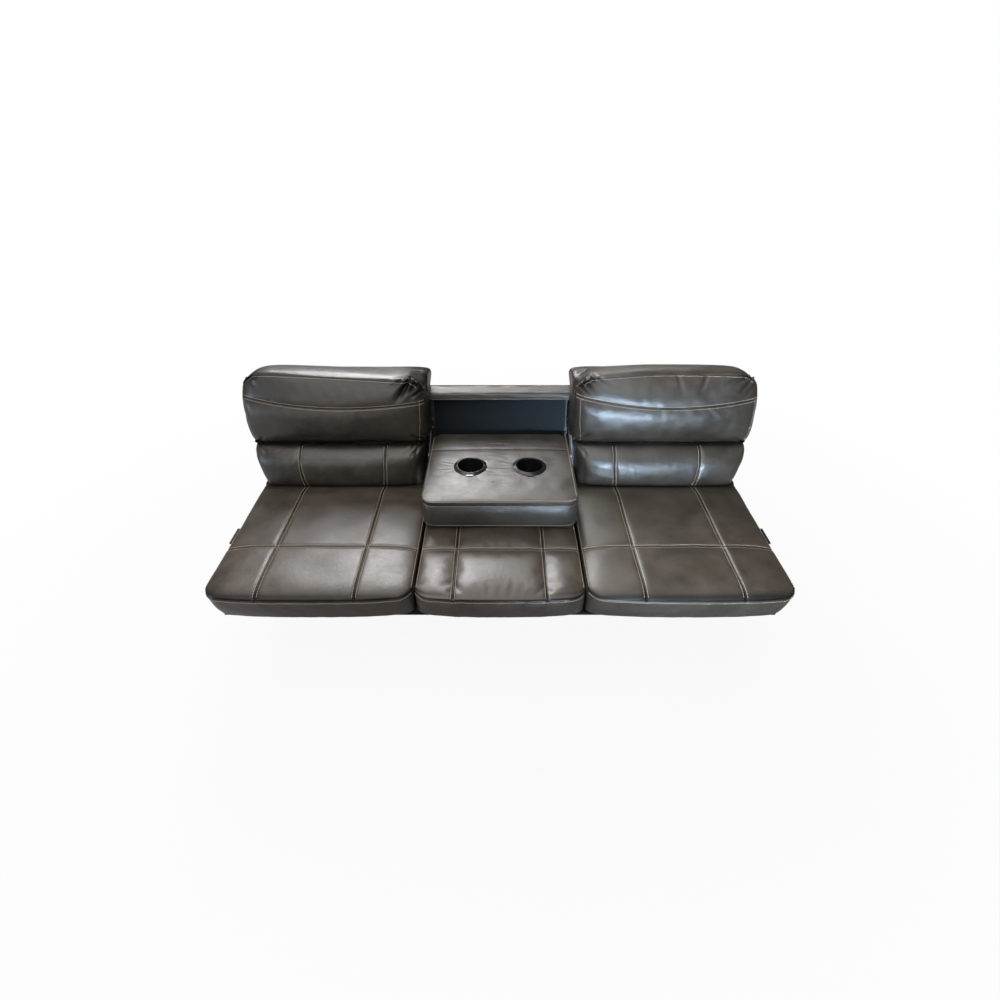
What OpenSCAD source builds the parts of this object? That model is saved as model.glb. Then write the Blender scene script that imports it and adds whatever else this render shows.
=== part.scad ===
// Armless three-place sofa whose back folds flat and whose middle back drops forward as a console.
// Origin: centre of the four floor bolts, on the floor. +Z is up and the sitter faces -Y.

/* [Overall] */
// Width over the three seat cushions
sofa_w = 1778; // [1500:2:2100]
// Width of the middle place, from crease to crease
middle_w = 520; // [460:2:620]
// Depth of the seat, from its front seam to the face of the back
seat_depth = 587; // [500:1:660]
// Height of the top seam of the seat above the floor
seat_h = 430; // [400:1:480]
// Lean of the back behind the vertical, in degrees
lean = 12; // [6:1:18]
// How far the front seam lies ahead of the bolt centre
front_reach = 488; // [440:1:520]

/* [Seat cushions] */
// Height of the cushion border, from the deck to the top seam
border_h = 94; // [80:1:120]
// Rise of the crown on the two outer places
outer_crown = 22; // [8:1:40]
// Rise of the crown on the middle place, under the console
middle_crown = 12; // [4:1:20]
// Plan radius of the outer front corners
corner_r = 50; // [20:1:80]
// Plan radius of the front corners at the creases
crease_r = 45; // [20:1:60]
// Gap between two seat cushions
crease_gap = 4; // [2:0.5:12]
// Distance of the cross stitching behind the front seam
cross_stitch = 215; // [150:1:300]
// Width of the middle panel between the lengthwise stitching, outer places
outer_panel_w = 292; // [220:1:360]
// Width of the middle panel between the lengthwise stitching, middle place
middle_panel_w = 280; // [200:1:340]
// Depth of the stitched channels
channel_d = 5; // [2:0.5:8]
// Half width of a stitched channel
channel_w = 10; // [5:1:16]
// How far the border draws in from the front seam to its lower edge
front_draw = 23; // [10:1:35]

/* [Back cushions] */
// Height of the crease between lumbar and pillow, along the back
crease_h = 160; // [130:1:200]
// Height of the pillow's top seam, along the back
top_seam_h = 412; // [390:1:440]
// Height of the back frame under the pillow's crown, along the back
back_h = 390; // [375:1:410]
// Bulge of the lumbar ahead of the back's face
lumbar_bulge = 22; // [8:1:32]
// Bulge of the pillow ahead of the back's face
pillow_bulge = 30; // [10:1:45]
// Rise of the pillow's crown above its top seam
pillow_crown = 18; // [8:1:30]
// Radius of the pillow's top corners, seen from the front
pillow_corner = 45; // [20:1:70]
// Swell of the pillow's sides past the crease
pillow_flare = 12; // [0:1:12]
// Height of the pillow's curved seam at its ends, along the back
smile_h = 335; // [300:1:370]
// Drop of the curved seam at its middle
smile_drop = 32; // [10:1:50]
// Depth of foam and cover ahead of the backing board
cushion_d = 142; // [130:1:170]
// Distance of the back cushions' inner sides from the middle, at the crease
back_inner = 279; // [277:1:310]
// How far the lumbar's sides draw in toward the seat
lumbar_taper = 20; // [0:1:30]
// How far the back cushions reach past the seat cushions at the sides
back_flare = 10; // [4:1:16]

/* [Back frame] */
// Depth of the wooden posts and rails
post_d = 40; // [25:1:60]
// Width of the wooden posts
post_w = 30; // [20:1:40]
// Thickness of the backing boards and the outer back
board_t = 4; // [3:0.5:8]
// Thickness of the padded outer back panels
panel_t = 6; // [3:0.5:10]
// Height of the lower edge of the frame, along the back
frame_low = 14; // [10:1:30]
// Reach of the outer back panels below the seat's top seam, along the back
panel_reach = 100; // [40:5:105]
// Height of the front top edge of the padded top rail, along the back
rail_h = 320; // [300:1:350]
// Height of the top rail's front face
rail_face = 28; // [20:1:45]
// Depth of the top rail's front face behind the back's face
rail_front = 125; // [124:1:134]
// Thickness of the padding and cover round the top rail
rail_pad = 6; // [3:0.5:10]

/* [Console] */
// Width of the console
console_w = 516; // [460:2:540]
// Distance of the console's pivot behind the back's face, square to it
pivot_d = 58; // [54:1:62]
// Distance of the console's pivot up the back
pivot_h = 94; // [88:1:110]
// Reach of the console from its pivot to its front edge
console_reach = 359; // [300:1:400]
// Reach of the console behind its pivot
console_tail = 77; // [60:1:80]
// Height of the console's upper face above its pivot
console_rise = 54; // [48:1:56]
// Height of the console's border above the crown of the seat
console_lift = 18; // [14:1:26]
// Thickness of the leather band and its padding
band_t = 6; // [3:0.5:10]
// Thickness of the padded upper cover at its edge
top_pad = 8; // [6:0.5:14]
// Thickness of the wooden boards of the box
box_t = 14; // [10:1:18]
// Thickness of the board that carries the cup holders
lid_t = 10; // [6:1:15]
// Plan radius of the console's corners
console_corner = 34; // [20:1:40]

/* [Cup holders] */
// Distance between the two cup centres
cup_spacing = 208; // [150:1:240]
// Distance of the cups ahead of the console's pivot
cup_ahead = 161; // [120:1:200]
// Inside diameter at the mouth
cup_d = 92; // [80:1:100]
// Inside diameter at the floor
cup_floor_d = 80; // [60:1:86]
// Inside depth
cup_depth = 66; // [50:1:74]
// Outside diameter of the rim
rim_d = 116; // [106:1:126]
// Height of the rim above the cover
rim_h = 7; // [3:0.5:10]
// Wall thickness
cup_wall = 2.4; // [1.5:0.1:4]
// Width of the lug at the front of the rim
lug_w = 23; // [12:1:40]

/* [Folding mechanism] */
// Distance of the cranks' upper pivots below the seat cushions
crank_drop = 88; // [80:1:120]
// Lean of the cranks behind the vertical when the sofa is upright, in degrees
crank_lean = 30; // [20:1:35]
// Distance between the front and rear cranks
crank_gap = 190; // [150:1:210]
// Distance of the rear cranks' lower pivots ahead of the bolt centre
crank_ahead = 20; // [0:1:60]
// Height of the lower pivots above the floor
foot_pivot_h = 75; // [60:1:90]
// Width of a crank
crank_w = 32; // [24:1:40]
// Thickness of every steel plate in the mechanism
plate_t = 5; // [4:0.5:6]
// Running gap between neighbouring plates
plate_gap = 2; // [1:0.25:3]
// Radius of the crank pins
pin_r = 6; // [4:0.5:8]
// Radius of the back hinge pins
hinge_pin_r = 8; // [6:0.5:10]
// Distance of the back hinge behind the back's face line on the seat
hinge_back = 16; // [12:1:22]
// Distance of the back hinge below the seat's top seam
hinge_down = 15; // [10:1:20]
// Diameter of the cross tubes
tube_d = 25; // [18:1:32]
// Wall of the cross tubes
tube_wall = 2; // [1.5:0.25:4]

/* [Base] */
// Length of the feet
foot_len = 370; // [320:1:420]
// Width of the feet
foot_w = 45; // [35:1:60]
// Distance of the floor bolts inside the sides of the seat
bolt_set = 39; // [36:1:46]
// Lengthwise spacing of the floor bolts
bolt_y = 280; // [220:1:320]
// Radius of the floor bolt holes
bolt_hole_r = 5.5; // [4:0.25:7]

/* [Hidden] */
$fn = 48;

leather = "#40372f";
leather_shade = "#2f2924";
steel = "#9c9ea0";
black_steel = "#232324";
wood = "#b08a5b";
foam = "#d8cfa8";
cloth = "#1c1d20";
plastic = "#121213";

// Shared allowances
eps = 1;
fit = 0.05;
soft_gap = 0.3;

// Places of the main pieces
face_y = seat_depth - front_reach;
seat_bottom = seat_h - border_h;
half_w = sofa_w / 2;
bolt_x = half_w - bolt_set;
crease_x = middle_w / 2;
hinge_y = face_y + hinge_back;
hinge_z = seat_h - hinge_down;

// Side layers, from the cushion outward
lip_w = 11;
seat_plate_x = half_w - lip_w;
crank_x = seat_plate_x - plate_gap - plate_t;
base_x = crank_x - plate_gap - plate_t;
back_arm_x = seat_plate_x + plate_t + plate_gap;
back_half = half_w + back_flare;

// Cranks
crank_rise = seat_bottom - crank_drop - foot_pivot_h;
crank_shift = crank_rise * tan(crank_lean);
rear_foot_y = -crank_ahead;
front_foot_y = rear_foot_y - crank_gap;
rear_top_y = rear_foot_y + crank_shift;
front_top_y = front_foot_y + crank_shift;
crank_top_z = foot_pivot_h + crank_rise;

// Console, in world axes when it lies on the seat
pivot_y = face_y + pivot_d * cos(lean) + pivot_h * sin(lean);
pivot_z = seat_h - pivot_d * sin(lean) + pivot_h * cos(lean);
console_front = pivot_y - console_reach;
console_rear = pivot_y + console_tail;
console_top = pivot_z + console_rise;
console_low = seat_h + middle_crown + console_lift;
lid_top = console_top - top_pad;
lid_low = lid_top - lid_t;
console_half = console_w / 2;
cup_y = pivot_y - cup_ahead;

// Depths in the back, square to its face
board_d = cushion_d + board_t;
panel_d = board_d + post_d;
back_low = 8;

module placed_back() {
    translate([0, face_y, seat_h]) rotate([-lean, 0, 0]) children();
}

// Closed skin through rings that all run round the same way, with a fan over each end
module loft(rings, first, last) {
    n = len(rings[0]);
    m = len(rings);
    points = concat([for (r = rings) for (p = r) p], [first, last]);
    near = [for (i = [0:m - 2], j = [0:n - 1]) [i * n + j, i * n + (j + 1) % n, (i + 1) * n + j]];
    far = [for (i = [0:m - 2], j = [0:n - 1])
        [i * n + (j + 1) % n, (i + 1) * n + (j + 1) % n, (i + 1) * n + j]];
    start = [for (j = [0:n - 1]) [m * n, (j + 1) % n, j]];
    end = [for (j = [0:n - 1]) [m * n + 1, (m - 1) * n + j, (m - 1) * n + (j + 1) % n]];
    polyhedron(points, concat(near, far, start, end));
}

// A plate in the Y-Z plane, from x to x + t
module plate(x, t) {
    translate([x, 0, 0]) rotate([90, 0, 90]) linear_extrude(t) children();
}

// A pin along X through (y, z)
module pin(x, y, z, len, r) {
    translate([x, y, z]) rotate([0, 90, 0]) cylinder(h = len, r = r);
}

// Rounded swell from edge to edge: 0 at -1 and 1, full at 0
function dome(t) = sqrt(max(0, 1 - pow(abs(t), 4)));
// Groove profile: 1 on its line, 0 from its half width on
function notch(t) = max(0, 1 - abs(t));
// How far a corner of radius r cuts in at a distance e from its end
function corner_cut(e, r) = e < r ? r - sqrt(max(0, r * r - (r - e) * (r - e))) : 0;
function mix(a, b, t) = a + (b - a) * t;

// Stations over a width: fine arcs at both ends, three at each stitched line
arc_steps = 4;
function arc_in(r) = [for (k = [0:arc_steps]) r * (1 - cos(k * 90 / arc_steps))];
function stations(xa, xb, ra, rb, lines, w) = concat(
    [for (e = arc_in(ra)) xa + e],
    [for (x = lines) for (side = [-1:1]) x + side * w],
    [for (k = [arc_steps:-1:0]) xb - arc_in(rb)[k]]);

// Seat cushion
seat_top_share = [0.02, 0.07, 0.16, 0.27];
seat_rear_share = [0.5, 0.64, 0.78, 0.9, 0.96, 1];
border_share = [0, 0.4, 0.8];
seat_edge_draw = 7;
rear_r = 16;

function seat_ring(x, xa, xb, ra, rb, crown, lines) =
    let (a = 2 * (x - xa) / (xb - xa) - 1,
         cut = corner_cut(x - xa, ra) + corner_cut(xb - x, rb),
         front = -front_reach + cut,
         rear = face_y - soft_gap - corner_cut(x - xa, rear_r) - corner_cut(xb - x, rear_r),
         depth = rear - front,
         mid = cross_stitch / seat_depth,
         side = channel_w / seat_depth,
         tops = concat(seat_top_share, [mid - side, mid, mid + side], seat_rear_share),
         seam = max([for (l = lines) notch((x - l) / channel_w)]))
    concat(
        [for (s = [1, 0]) [x - seat_edge_draw * a, mix(front + front_draw, rear, s), seat_bottom]],
        [for (s = border_share) if (s > 0)
            [x - seat_edge_draw * a * (1 - s), front + front_draw * (1 - s) * (1 - s),
             seat_bottom + border_h * s]],
        [[x, front, seat_h]],
        [for (s = tops)
            let (swell = dome(a) * dome(2 * s - 1),
                 sewn = max(seam, notch((s - mid) / side)) * min(1, 2 * swell))
            [x, front + depth * s, seat_h + crown * swell - channel_d * sewn]]);

module seat_cushion(xa, xb, ra, rb, crown, lines) {
    xs = stations(xa, xb, ra, rb, lines, channel_w);
    rings = [for (x = xs) seat_ring(x, xa, xb, ra, rb, crown, lines)];
    middle = [0, face_y - seat_depth / 2, seat_h - border_h / 2];
    loft(rings, middle + [xa + seat_edge_draw, 0, 0], middle + [xb - seat_edge_draw, 0, 0]);
}

// Room inside a seat cushion for its foam block
foam_side = 24;
foam_front = 34;
foam_rear = 14;
foam_top = 8;
module seat_block(xa, xb, slack) {
    translate([xa + foam_side + slack, -front_reach + foam_front + slack, seat_bottom - eps + slack])
        cube([xb - xa - 2 * (foam_side + slack),
              seat_depth - foam_front - foam_rear - 2 * slack,
              border_h - foam_top + eps - 2 * slack]);
}

outer_xa = crease_x + crease_gap / 2;
outer_mid = (outer_xa + half_w) / 2;
outer_lines = [outer_mid - outer_panel_w / 2, outer_mid + outer_panel_w / 2];
middle_half = crease_x - crease_gap / 2;
middle_lines = [-middle_panel_w / 2, middle_panel_w / 2];
// The side plate lies against the border under the cushion's lip
lip_drop = 16;
relief_top = seat_h - lip_drop;

module seat_outer_cover() {
    color(leather) difference() {
        seat_cushion(outer_xa, half_w, crease_r, corner_r, outer_crown, outer_lines);
        seat_block(outer_xa, half_w, 0);
        translate([seat_plate_x - soft_gap, -front_reach - eps, seat_bottom - eps])
            cube([lip_w + plate_t, seat_depth + 2 * eps, relief_top - seat_bottom + eps]);
    }
}
module seat_cover_right() { seat_outer_cover(); }
module seat_cover_left() { mirror([1, 0, 0]) seat_outer_cover(); }
module seat_cover_center() {
    color(leather) difference() {
        seat_cushion(-middle_half, middle_half, crease_r, crease_r, middle_crown, middle_lines);
        seat_block(-middle_half, middle_half, 0);
    }
}
module seat_core(xa, xb) {
    color(foam) intersection() {
        seat_block(xa, xb, fit);
        translate([xa, -front_reach, seat_bottom]) cube([xb - xa, seat_depth, border_h]);
    }
}
module seat_foam_right() { seat_core(outer_xa, half_w); }
module seat_foam_left() { mirror([1, 0, 0]) seat_core(outer_xa, half_w); }
module seat_foam_center() { seat_core(-middle_half, middle_half); }

// Seat frame: a board on a welded frame of rectangular tube
deck_t = 12;
rail_tube_h = 34;
rail_tube_w = 30;
rail_wall = 2;
deck_set = 38;
deck_round = 60;
frame_set = 68;
deck_rear = 24;
deck_low = seat_bottom - deck_t;
rail_low = deck_low - rail_tube_h;
deck_front = -front_reach + deck_set;
frame_front = -front_reach + frame_set;
frame_rear = face_y - deck_rear;
bearer_x = crease_x;

module seat_deck() {
    color(wood) {
        translate([-seat_plate_x, deck_front + deck_round, deck_low])
            cube([2 * seat_plate_x, frame_rear - deck_front - deck_round, deck_t]);
        translate([-seat_plate_x + deck_round, deck_front, deck_low])
            cube([2 * (seat_plate_x - deck_round), 2 * deck_round, deck_t]);
        for (side = [-1, 1])
            translate([side * (seat_plate_x - deck_round), deck_front + deck_round, deck_low])
                cylinder(h = deck_t, r = deck_round);
    }
}
module box_tube(size, along) {
    bore = [for (k = [0:2]) k == along ? size[k] + 2 * eps : size[k] - 2 * rail_wall];
    shift = [for (k = [0:2]) k == along ? -eps : rail_wall];
    difference() {
        cube(size);
        translate(shift) cube(bore);
    }
}
module seat_side_rail() {
    color(black_steel) translate([seat_plate_x - rail_tube_w, frame_front, rail_low])
        box_tube([rail_tube_w, frame_rear - frame_front, rail_tube_h], 1);
}
module seat_rail_right() { seat_side_rail(); }
module seat_rail_left() { mirror([1, 0, 0]) seat_side_rail(); }
module seat_cross_rail(y) {
    inner = seat_plate_x - rail_tube_w;
    color(black_steel) translate([-inner, y, rail_low]) box_tube([2 * inner, rail_tube_w, rail_tube_h], 0);
}
module seat_rail_front() { seat_cross_rail(frame_front); }
module seat_rail_rear() { seat_cross_rail(frame_rear - rail_tube_w); }
module seat_bearers() {
    run = frame_rear - frame_front - 2 * rail_tube_w;
    color(black_steel) for (side = [-1, 1])
        translate([side * bearer_x - rail_tube_w / 2, frame_front + rail_tube_w, rail_low])
            box_tube([rail_tube_w, run, rail_tube_h], 1);
}
dust_t = 1.5;
module seat_dust_cover() {
    color(cloth) translate([-seat_plate_x, frame_front, rail_low - dust_t])
        cube([2 * seat_plate_x, frame_rear - frame_front, dust_t]);
}

// Side plate of the seat: carries the crank pins below, the back hinge behind and a lug outside
boss_r = 18;
hinge_boss_r = 17;
crank_boss_r = crank_w / 2;
plate_top = relief_top - plate_gap;
nose_len = 115;
plate_front = front_top_y - nose_len;
side_lug_from = 10;
side_lug_len = 75;
side_lug_reach = 26;
nose_h = 32;
hole_r = 46;
small_hole_r = 22;
web_w = 14;
window_y = (front_top_y + rear_top_y) / 2;
window_z = (crank_top_z + plate_top) / 2;

module seat_plate_outline() {
    polygon([
        [plate_front, plate_top], [face_y - soft_gap, plate_top], [hinge_y, hinge_z + hinge_boss_r],
        [hinge_y + hinge_boss_r, hinge_z], [rear_top_y + boss_r, crank_top_z],
        [rear_top_y, crank_top_z - boss_r], [front_top_y, crank_top_z - boss_r],
        [front_top_y - boss_r, crank_top_z], [plate_front, plate_top - nose_h]]);
    translate([hinge_y, hinge_z]) circle(r = hinge_boss_r);
    translate([rear_top_y, crank_top_z]) circle(r = boss_r);
    translate([front_top_y, crank_top_z]) circle(r = boss_r);
}
module seat_plate() {
    color(black_steel) {
        difference() {
            plate(seat_plate_x, plate_t) seat_plate_outline();
            pin(seat_plate_x - eps, hinge_y, hinge_z, plate_t + 2 * eps, hinge_pin_r + fit);
            for (y = [rear_top_y, front_top_y])
                pin(seat_plate_x - eps, y, crank_top_z, plate_t + 2 * eps, pin_r + fit);
            pin(seat_plate_x - eps, window_y, window_z, plate_t + 2 * eps, hole_r);
            for (side = [-1, 1])
                pin(seat_plate_x - eps, window_y + side * (hole_r + web_w + small_hole_r), window_z,
                    plate_t + 2 * eps, small_hole_r);
        }
        translate([seat_plate_x + plate_t, plate_front + side_lug_from, plate_top - plate_t])
            cube([side_lug_reach, side_lug_len, plate_t]);
    }
}
module seat_plate_right() { seat_plate(); }
module seat_plate_left() { mirror([1, 0, 0]) seat_plate(); }

// Cranks: flat links with round ends
module link(y0, z0, y1, z1, r) {
    run = norm([y1 - y0, z1 - z0]);
    translate([y0, z0]) rotate(atan2(z1 - z0, y1 - y0)) translate([0, -r]) square([run, 2 * r]);
    translate([y0, z0]) circle(r = r);
    translate([y1, z1]) circle(r = r);
}
module crank(foot_y) {
    top_y = foot_y + crank_shift;
    color(steel) difference() {
        plate(crank_x, plate_t) link(foot_y, foot_pivot_h, top_y, crank_top_z, crank_boss_r);
        pin(crank_x - eps, foot_y, foot_pivot_h, plate_t + 2 * eps, pin_r + fit);
        pin(crank_x - eps, top_y, crank_top_z, plate_t + 2 * eps, pin_r + fit);
    }
}
module crank_tube(foot_y) {
    color(black_steel) difference() {
        pin(-crank_x, foot_y + crank_shift / 2, foot_pivot_h + crank_rise / 2, 2 * crank_x, tube_d / 2);
        pin(-crank_x - eps, foot_y + crank_shift / 2, foot_pivot_h + crank_rise / 2,
            2 * (crank_x + eps), tube_d / 2 - tube_wall);
    }
}
module rear_crank_right() { crank(rear_foot_y); }
module rear_crank_left() { mirror([1, 0, 0]) crank(rear_foot_y); }
module rear_crank_tube() { crank_tube(rear_foot_y); }
module front_crank_right() { crank(front_foot_y); }
module front_crank_left() { mirror([1, 0, 0]) crank(front_foot_y); }
module front_crank_tube() { crank_tube(front_foot_y); }

// A riveted pin: a shank through two plates with a head on each side
head_t = 3;
head_share = 1.6;
module rivet(x, y, z, grip, r) {
    pin(x - head_t, y, z, grip + 2 * head_t, r);
    pin(x - head_t, y, z, head_t, r * head_share);
    pin(x + grip, y, z, head_t, r * head_share);
}
stack_t = 2 * plate_t + plate_gap;
module base_pins() {
    color(steel) for (side = [0, 1], y = [rear_foot_y, front_foot_y])
        mirror([side, 0, 0]) rivet(base_x, y, foot_pivot_h, stack_t, pin_r);
}
module seat_plate_pins() {
    color(steel) for (side = [0, 1], y = [rear_top_y, front_top_y])
        mirror([side, 0, 0]) rivet(crank_x, y, crank_top_z, stack_t, pin_r);
}
module back_hinge_pins() {
    color(steel) for (side = [0, 1])
        mirror([side, 0, 0]) rivet(seat_plate_x, hinge_y, hinge_z, stack_t, hinge_pin_r);
}

// Base: two pressed brackets and two cross tubes
foot_shift = 10;
foot_front = -foot_len / 2 + foot_shift;
foot_rear = foot_front + foot_len;
bracket_boss = 16;
tube_h = 32;
tube_set = 25;
module base_bracket() {
    pad_in = base_x + plate_t - foot_w;
    color(black_steel) difference() {
        union() {
            plate(base_x, plate_t) {
                polygon([
                    [foot_front, 0], [foot_rear, 0], [foot_rear, tube_h + tube_d],
                    [rear_foot_y + bracket_boss, foot_pivot_h],
                    [rear_foot_y, foot_pivot_h + bracket_boss], [front_foot_y, foot_pivot_h + bracket_boss],
                    [front_foot_y - bracket_boss, foot_pivot_h]]);
                for (y = [rear_foot_y, front_foot_y])
                    translate([y, foot_pivot_h]) circle(r = bracket_boss);
            }
            translate([pad_in, foot_front, 0]) cube([foot_w - plate_t, foot_len, plate_t]);
        }
        for (y = [rear_foot_y, front_foot_y])
            pin(base_x - eps, y, foot_pivot_h, plate_t + 2 * eps, pin_r + fit);
        for (y = [-bolt_y / 2, bolt_y / 2])
            translate([bolt_x, y, -eps]) cylinder(h = plate_t + 2 * eps, r = bolt_hole_r);
    }
}
module base_bracket_right() { base_bracket(); }
module base_bracket_left() { mirror([1, 0, 0]) base_bracket(); }
module base_tubes() {
    color(black_steel) for (y = [foot_front + tube_set, foot_rear - tube_set]) difference() {
        pin(-base_x, y, tube_h, 2 * base_x, tube_d / 2);
        pin(-base_x - eps, y, tube_h, 2 * (base_x + eps), tube_d / 2 - tube_wall);
    }
}

// Back arm: from the hinge under the lumbar to the outer post
arm_low = 29;
arm_h = 120;
arm_grip = 4;
hinge_local_d = hinge_back * cos(lean) + hinge_down * sin(lean);
hinge_local_h = hinge_back * sin(lean) - hinge_down * cos(lean);
arm_top = hinge_local_h + hinge_boss_r;
module back_arm() {
    color(black_steel) difference() {
        placed_back() plate(back_arm_x, plate_t) {
            polygon([
                [hinge_local_d, arm_top], [hinge_local_d, hinge_local_h - hinge_boss_r],
                [board_d, -arm_low], [panel_d - arm_grip, -arm_low], [panel_d - arm_grip, arm_h],
                [board_d + arm_grip, arm_h], [board_d + arm_grip, arm_top]]);
            translate([hinge_local_d, hinge_local_h]) circle(r = hinge_boss_r);
        }
        pin(back_arm_x - eps, hinge_y, hinge_z, plate_t + 2 * eps, hinge_pin_r + fit);
    }
}
module back_arm_right() { back_arm(); }
module back_arm_left() { mirror([1, 0, 0]) back_arm(); }

// Wooden back frame, its backing boards and the padded outer panels
hanger_air = 7;
inner_post_x = console_half + hanger_air + plate_t;
hanger_x = console_half + hanger_air;
module post(x) {
    color(wood) placed_back() translate([x, board_d, frame_low])
        cube([post_w, post_d, back_h - frame_low]);
}
module back_post_outer_right() { post(back_arm_x - post_w); }
module back_post_outer_left() { mirror([1, 0, 0]) post(back_arm_x - post_w); }
module back_post_inner_right() {
    difference() {
        post(inner_post_x);
        hanger_bores(hanger_bolt_r + fit);
    }
}
module back_post_inner_left() { mirror([1, 0, 0]) back_post_inner_right(); }
head_rail_h = 30;
module back_head_rails() {
    run = back_arm_x - inner_post_x - 2 * post_w;
    color(wood) placed_back() for (side = [0, 1]) mirror([side, 0, 0])
        translate([inner_post_x + post_w, board_d, back_h - head_rail_h]) cube([run, post_d, head_rail_h]);
}
module back_bottom_rail() {
    color(wood) placed_back() translate([-inner_post_x, board_d, frame_low])
        cube([2 * inner_post_x, post_d, head_rail_h]);
}
module back_boards() {
    color(wood) placed_back() for (side = [0, 1]) mirror([side, 0, 0])
        translate([inner_post_x, cushion_d, frame_low])
            cube([back_arm_x - inner_post_x, board_t, back_h - frame_low]);
}
return_t = 3;
panel_air = 16;
module back_panel(side) {
    outer = back_arm_x + plate_t + plate_gap;
    color(leather_shade) placed_back() mirror([side, 0, 0]) {
        translate([inner_post_x, panel_d, frame_low])
            cube([outer + return_t - inner_post_x, panel_t, back_h - frame_low]);
        translate([outer, cushion_d + board_t, frame_low])
            cube([return_t, post_d, back_h - frame_low]);
        translate([inner_post_x, panel_d, -panel_reach])
            cube([base_x - panel_air - inner_post_x, panel_t, panel_reach + frame_low + eps]);
    }
}
module back_panel_right() { back_panel(0); }
module back_panel_left() { back_panel(1); }
rail_top_rise = (panel_d - rail_front) * tan(lean);
module back_panel_center() {
    color(leather_shade) placed_back() translate([-inner_post_x + fit, panel_d, -panel_reach])
        cube([2 * (inner_post_x - fit), panel_t, rail_h + rail_top_rise + panel_reach]);
}

// Top rail of the middle bay: a wooden rail in a padded leather wrap, level on top
rail_round = 5;
module rail_profile(pad) {
    polygon([
        [rail_front + pad, rail_h - rail_face + pad], [rail_front + pad, rail_h - rail_round - pad],
        [rail_front + rail_round + pad, rail_h - pad],
        [panel_d - pad, rail_h + rail_top_rise - pad - rail_round],
        [panel_d - pad, rail_h - rail_face + pad]]);
}
module top_rail() {
    color(wood) placed_back()
        plate(-inner_post_x, 2 * inner_post_x) rail_profile(rail_pad);
}
module top_rail_cover() {
    color(leather) placed_back() difference() {
        plate(-inner_post_x + fit, 2 * (inner_post_x - fit)) rail_profile(0);
        plate(-inner_post_x, 2 * inner_post_x) rail_profile(rail_pad);
    }
}
// A thin lining board stands between the bottom rail and the top rail
liner_half = 254;
liner_t = 2;
liner_set = 10;
module back_liner() {
    liner_low = frame_low + head_rail_h;
    color(cloth) placed_back() translate([-liner_half, board_d + liner_set, liner_low])
        cube([2 * liner_half, liner_t, rail_h - rail_face - liner_low]);
}

// Foam core of each outer back section, inside lumbar and pillow
core_side = 26;
core_front = 14;
core_low = 24;
core_down = 26;
core_top = back_h - core_down;
module back_core(slack) {
    placed_back() translate([back_inner + core_side + slack, core_front + slack, core_low + slack])
        cube([back_arm_x - back_inner - 2 * (core_side + slack),
              cushion_d - core_front - slack, core_top - core_low - 2 * slack]);
}
module back_foam_right() { color(foam) back_core(fit); }
module back_foam_left() { mirror([1, 0, 0]) back_foam_right(); }

// Lumbar cushion: bulges forward, two stitched channels up its face
back_round = 26;
lumbar_share = [0, 0.07, 0.22, 0.42, 0.62, 0.8, 0.93, 1];
lumbar_gap = 1.5;
back_line_shift = 10;
lumbar_line_w = outer_panel_w / 2 + back_line_shift;
lumbar_lines = [outer_mid - lumbar_line_w, outer_mid + lumbar_line_w];
lumbar_from_share = 0.01;
lumbar_to_share = 0.99;
lumbar_round = 8;
function lumbar_x(x, h) =
    let (a = 2 * (x - back_inner) / (back_half - back_inner) - 1)
    x - lumbar_taper * a * abs(a) * (1 - h / crease_h);
function lumbar_ring(x) =
    let (a = 2 * (x - back_inner) / (back_half - back_inner) - 1,
         cut = corner_cut(x - back_inner, back_round) + corner_cut(back_half - x, back_round),
         top = crease_h - lumbar_gap,
         foot_x = lumbar_x(x, back_low),
         seam = max([for (l = lumbar_lines) notch((x - l) / channel_w)]))
    concat(
        [[foot_x, cushion_d - soft_gap, back_low], [foot_x, lumbar_round + cut, back_low]],
        [for (s = lumbar_share)
            let (swell = dome(a) * dome(2 * s - 1),
                 h = mix(back_low, top, mix(lumbar_from_share, lumbar_to_share, s)))
            [lumbar_x(x, h), cut + lumbar_round * (1 - dome(2 * s - 1)) - lumbar_bulge * swell
                + channel_d * seam * swell, h]],
        [[lumbar_x(x, top), cushion_d - soft_gap, top]]);
module lumbar() {
    xs = stations(back_inner, back_half, back_round, back_round, lumbar_lines, channel_w);
    rings = [for (x = xs) lumbar_ring(x)];
    half_h = crease_h / 2;
    near = [lumbar_x(back_inner, half_h), cushion_d / 2, half_h];
    far = [lumbar_x(back_half, half_h), cushion_d / 2, half_h];
    color(leather) difference() {
        placed_back() loft(rings, near, far);
        back_core(0);
    }
}
module back_lumbar_right() { lumbar(); }
module back_lumbar_left() { mirror([1, 0, 0]) lumbar(); }

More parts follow.
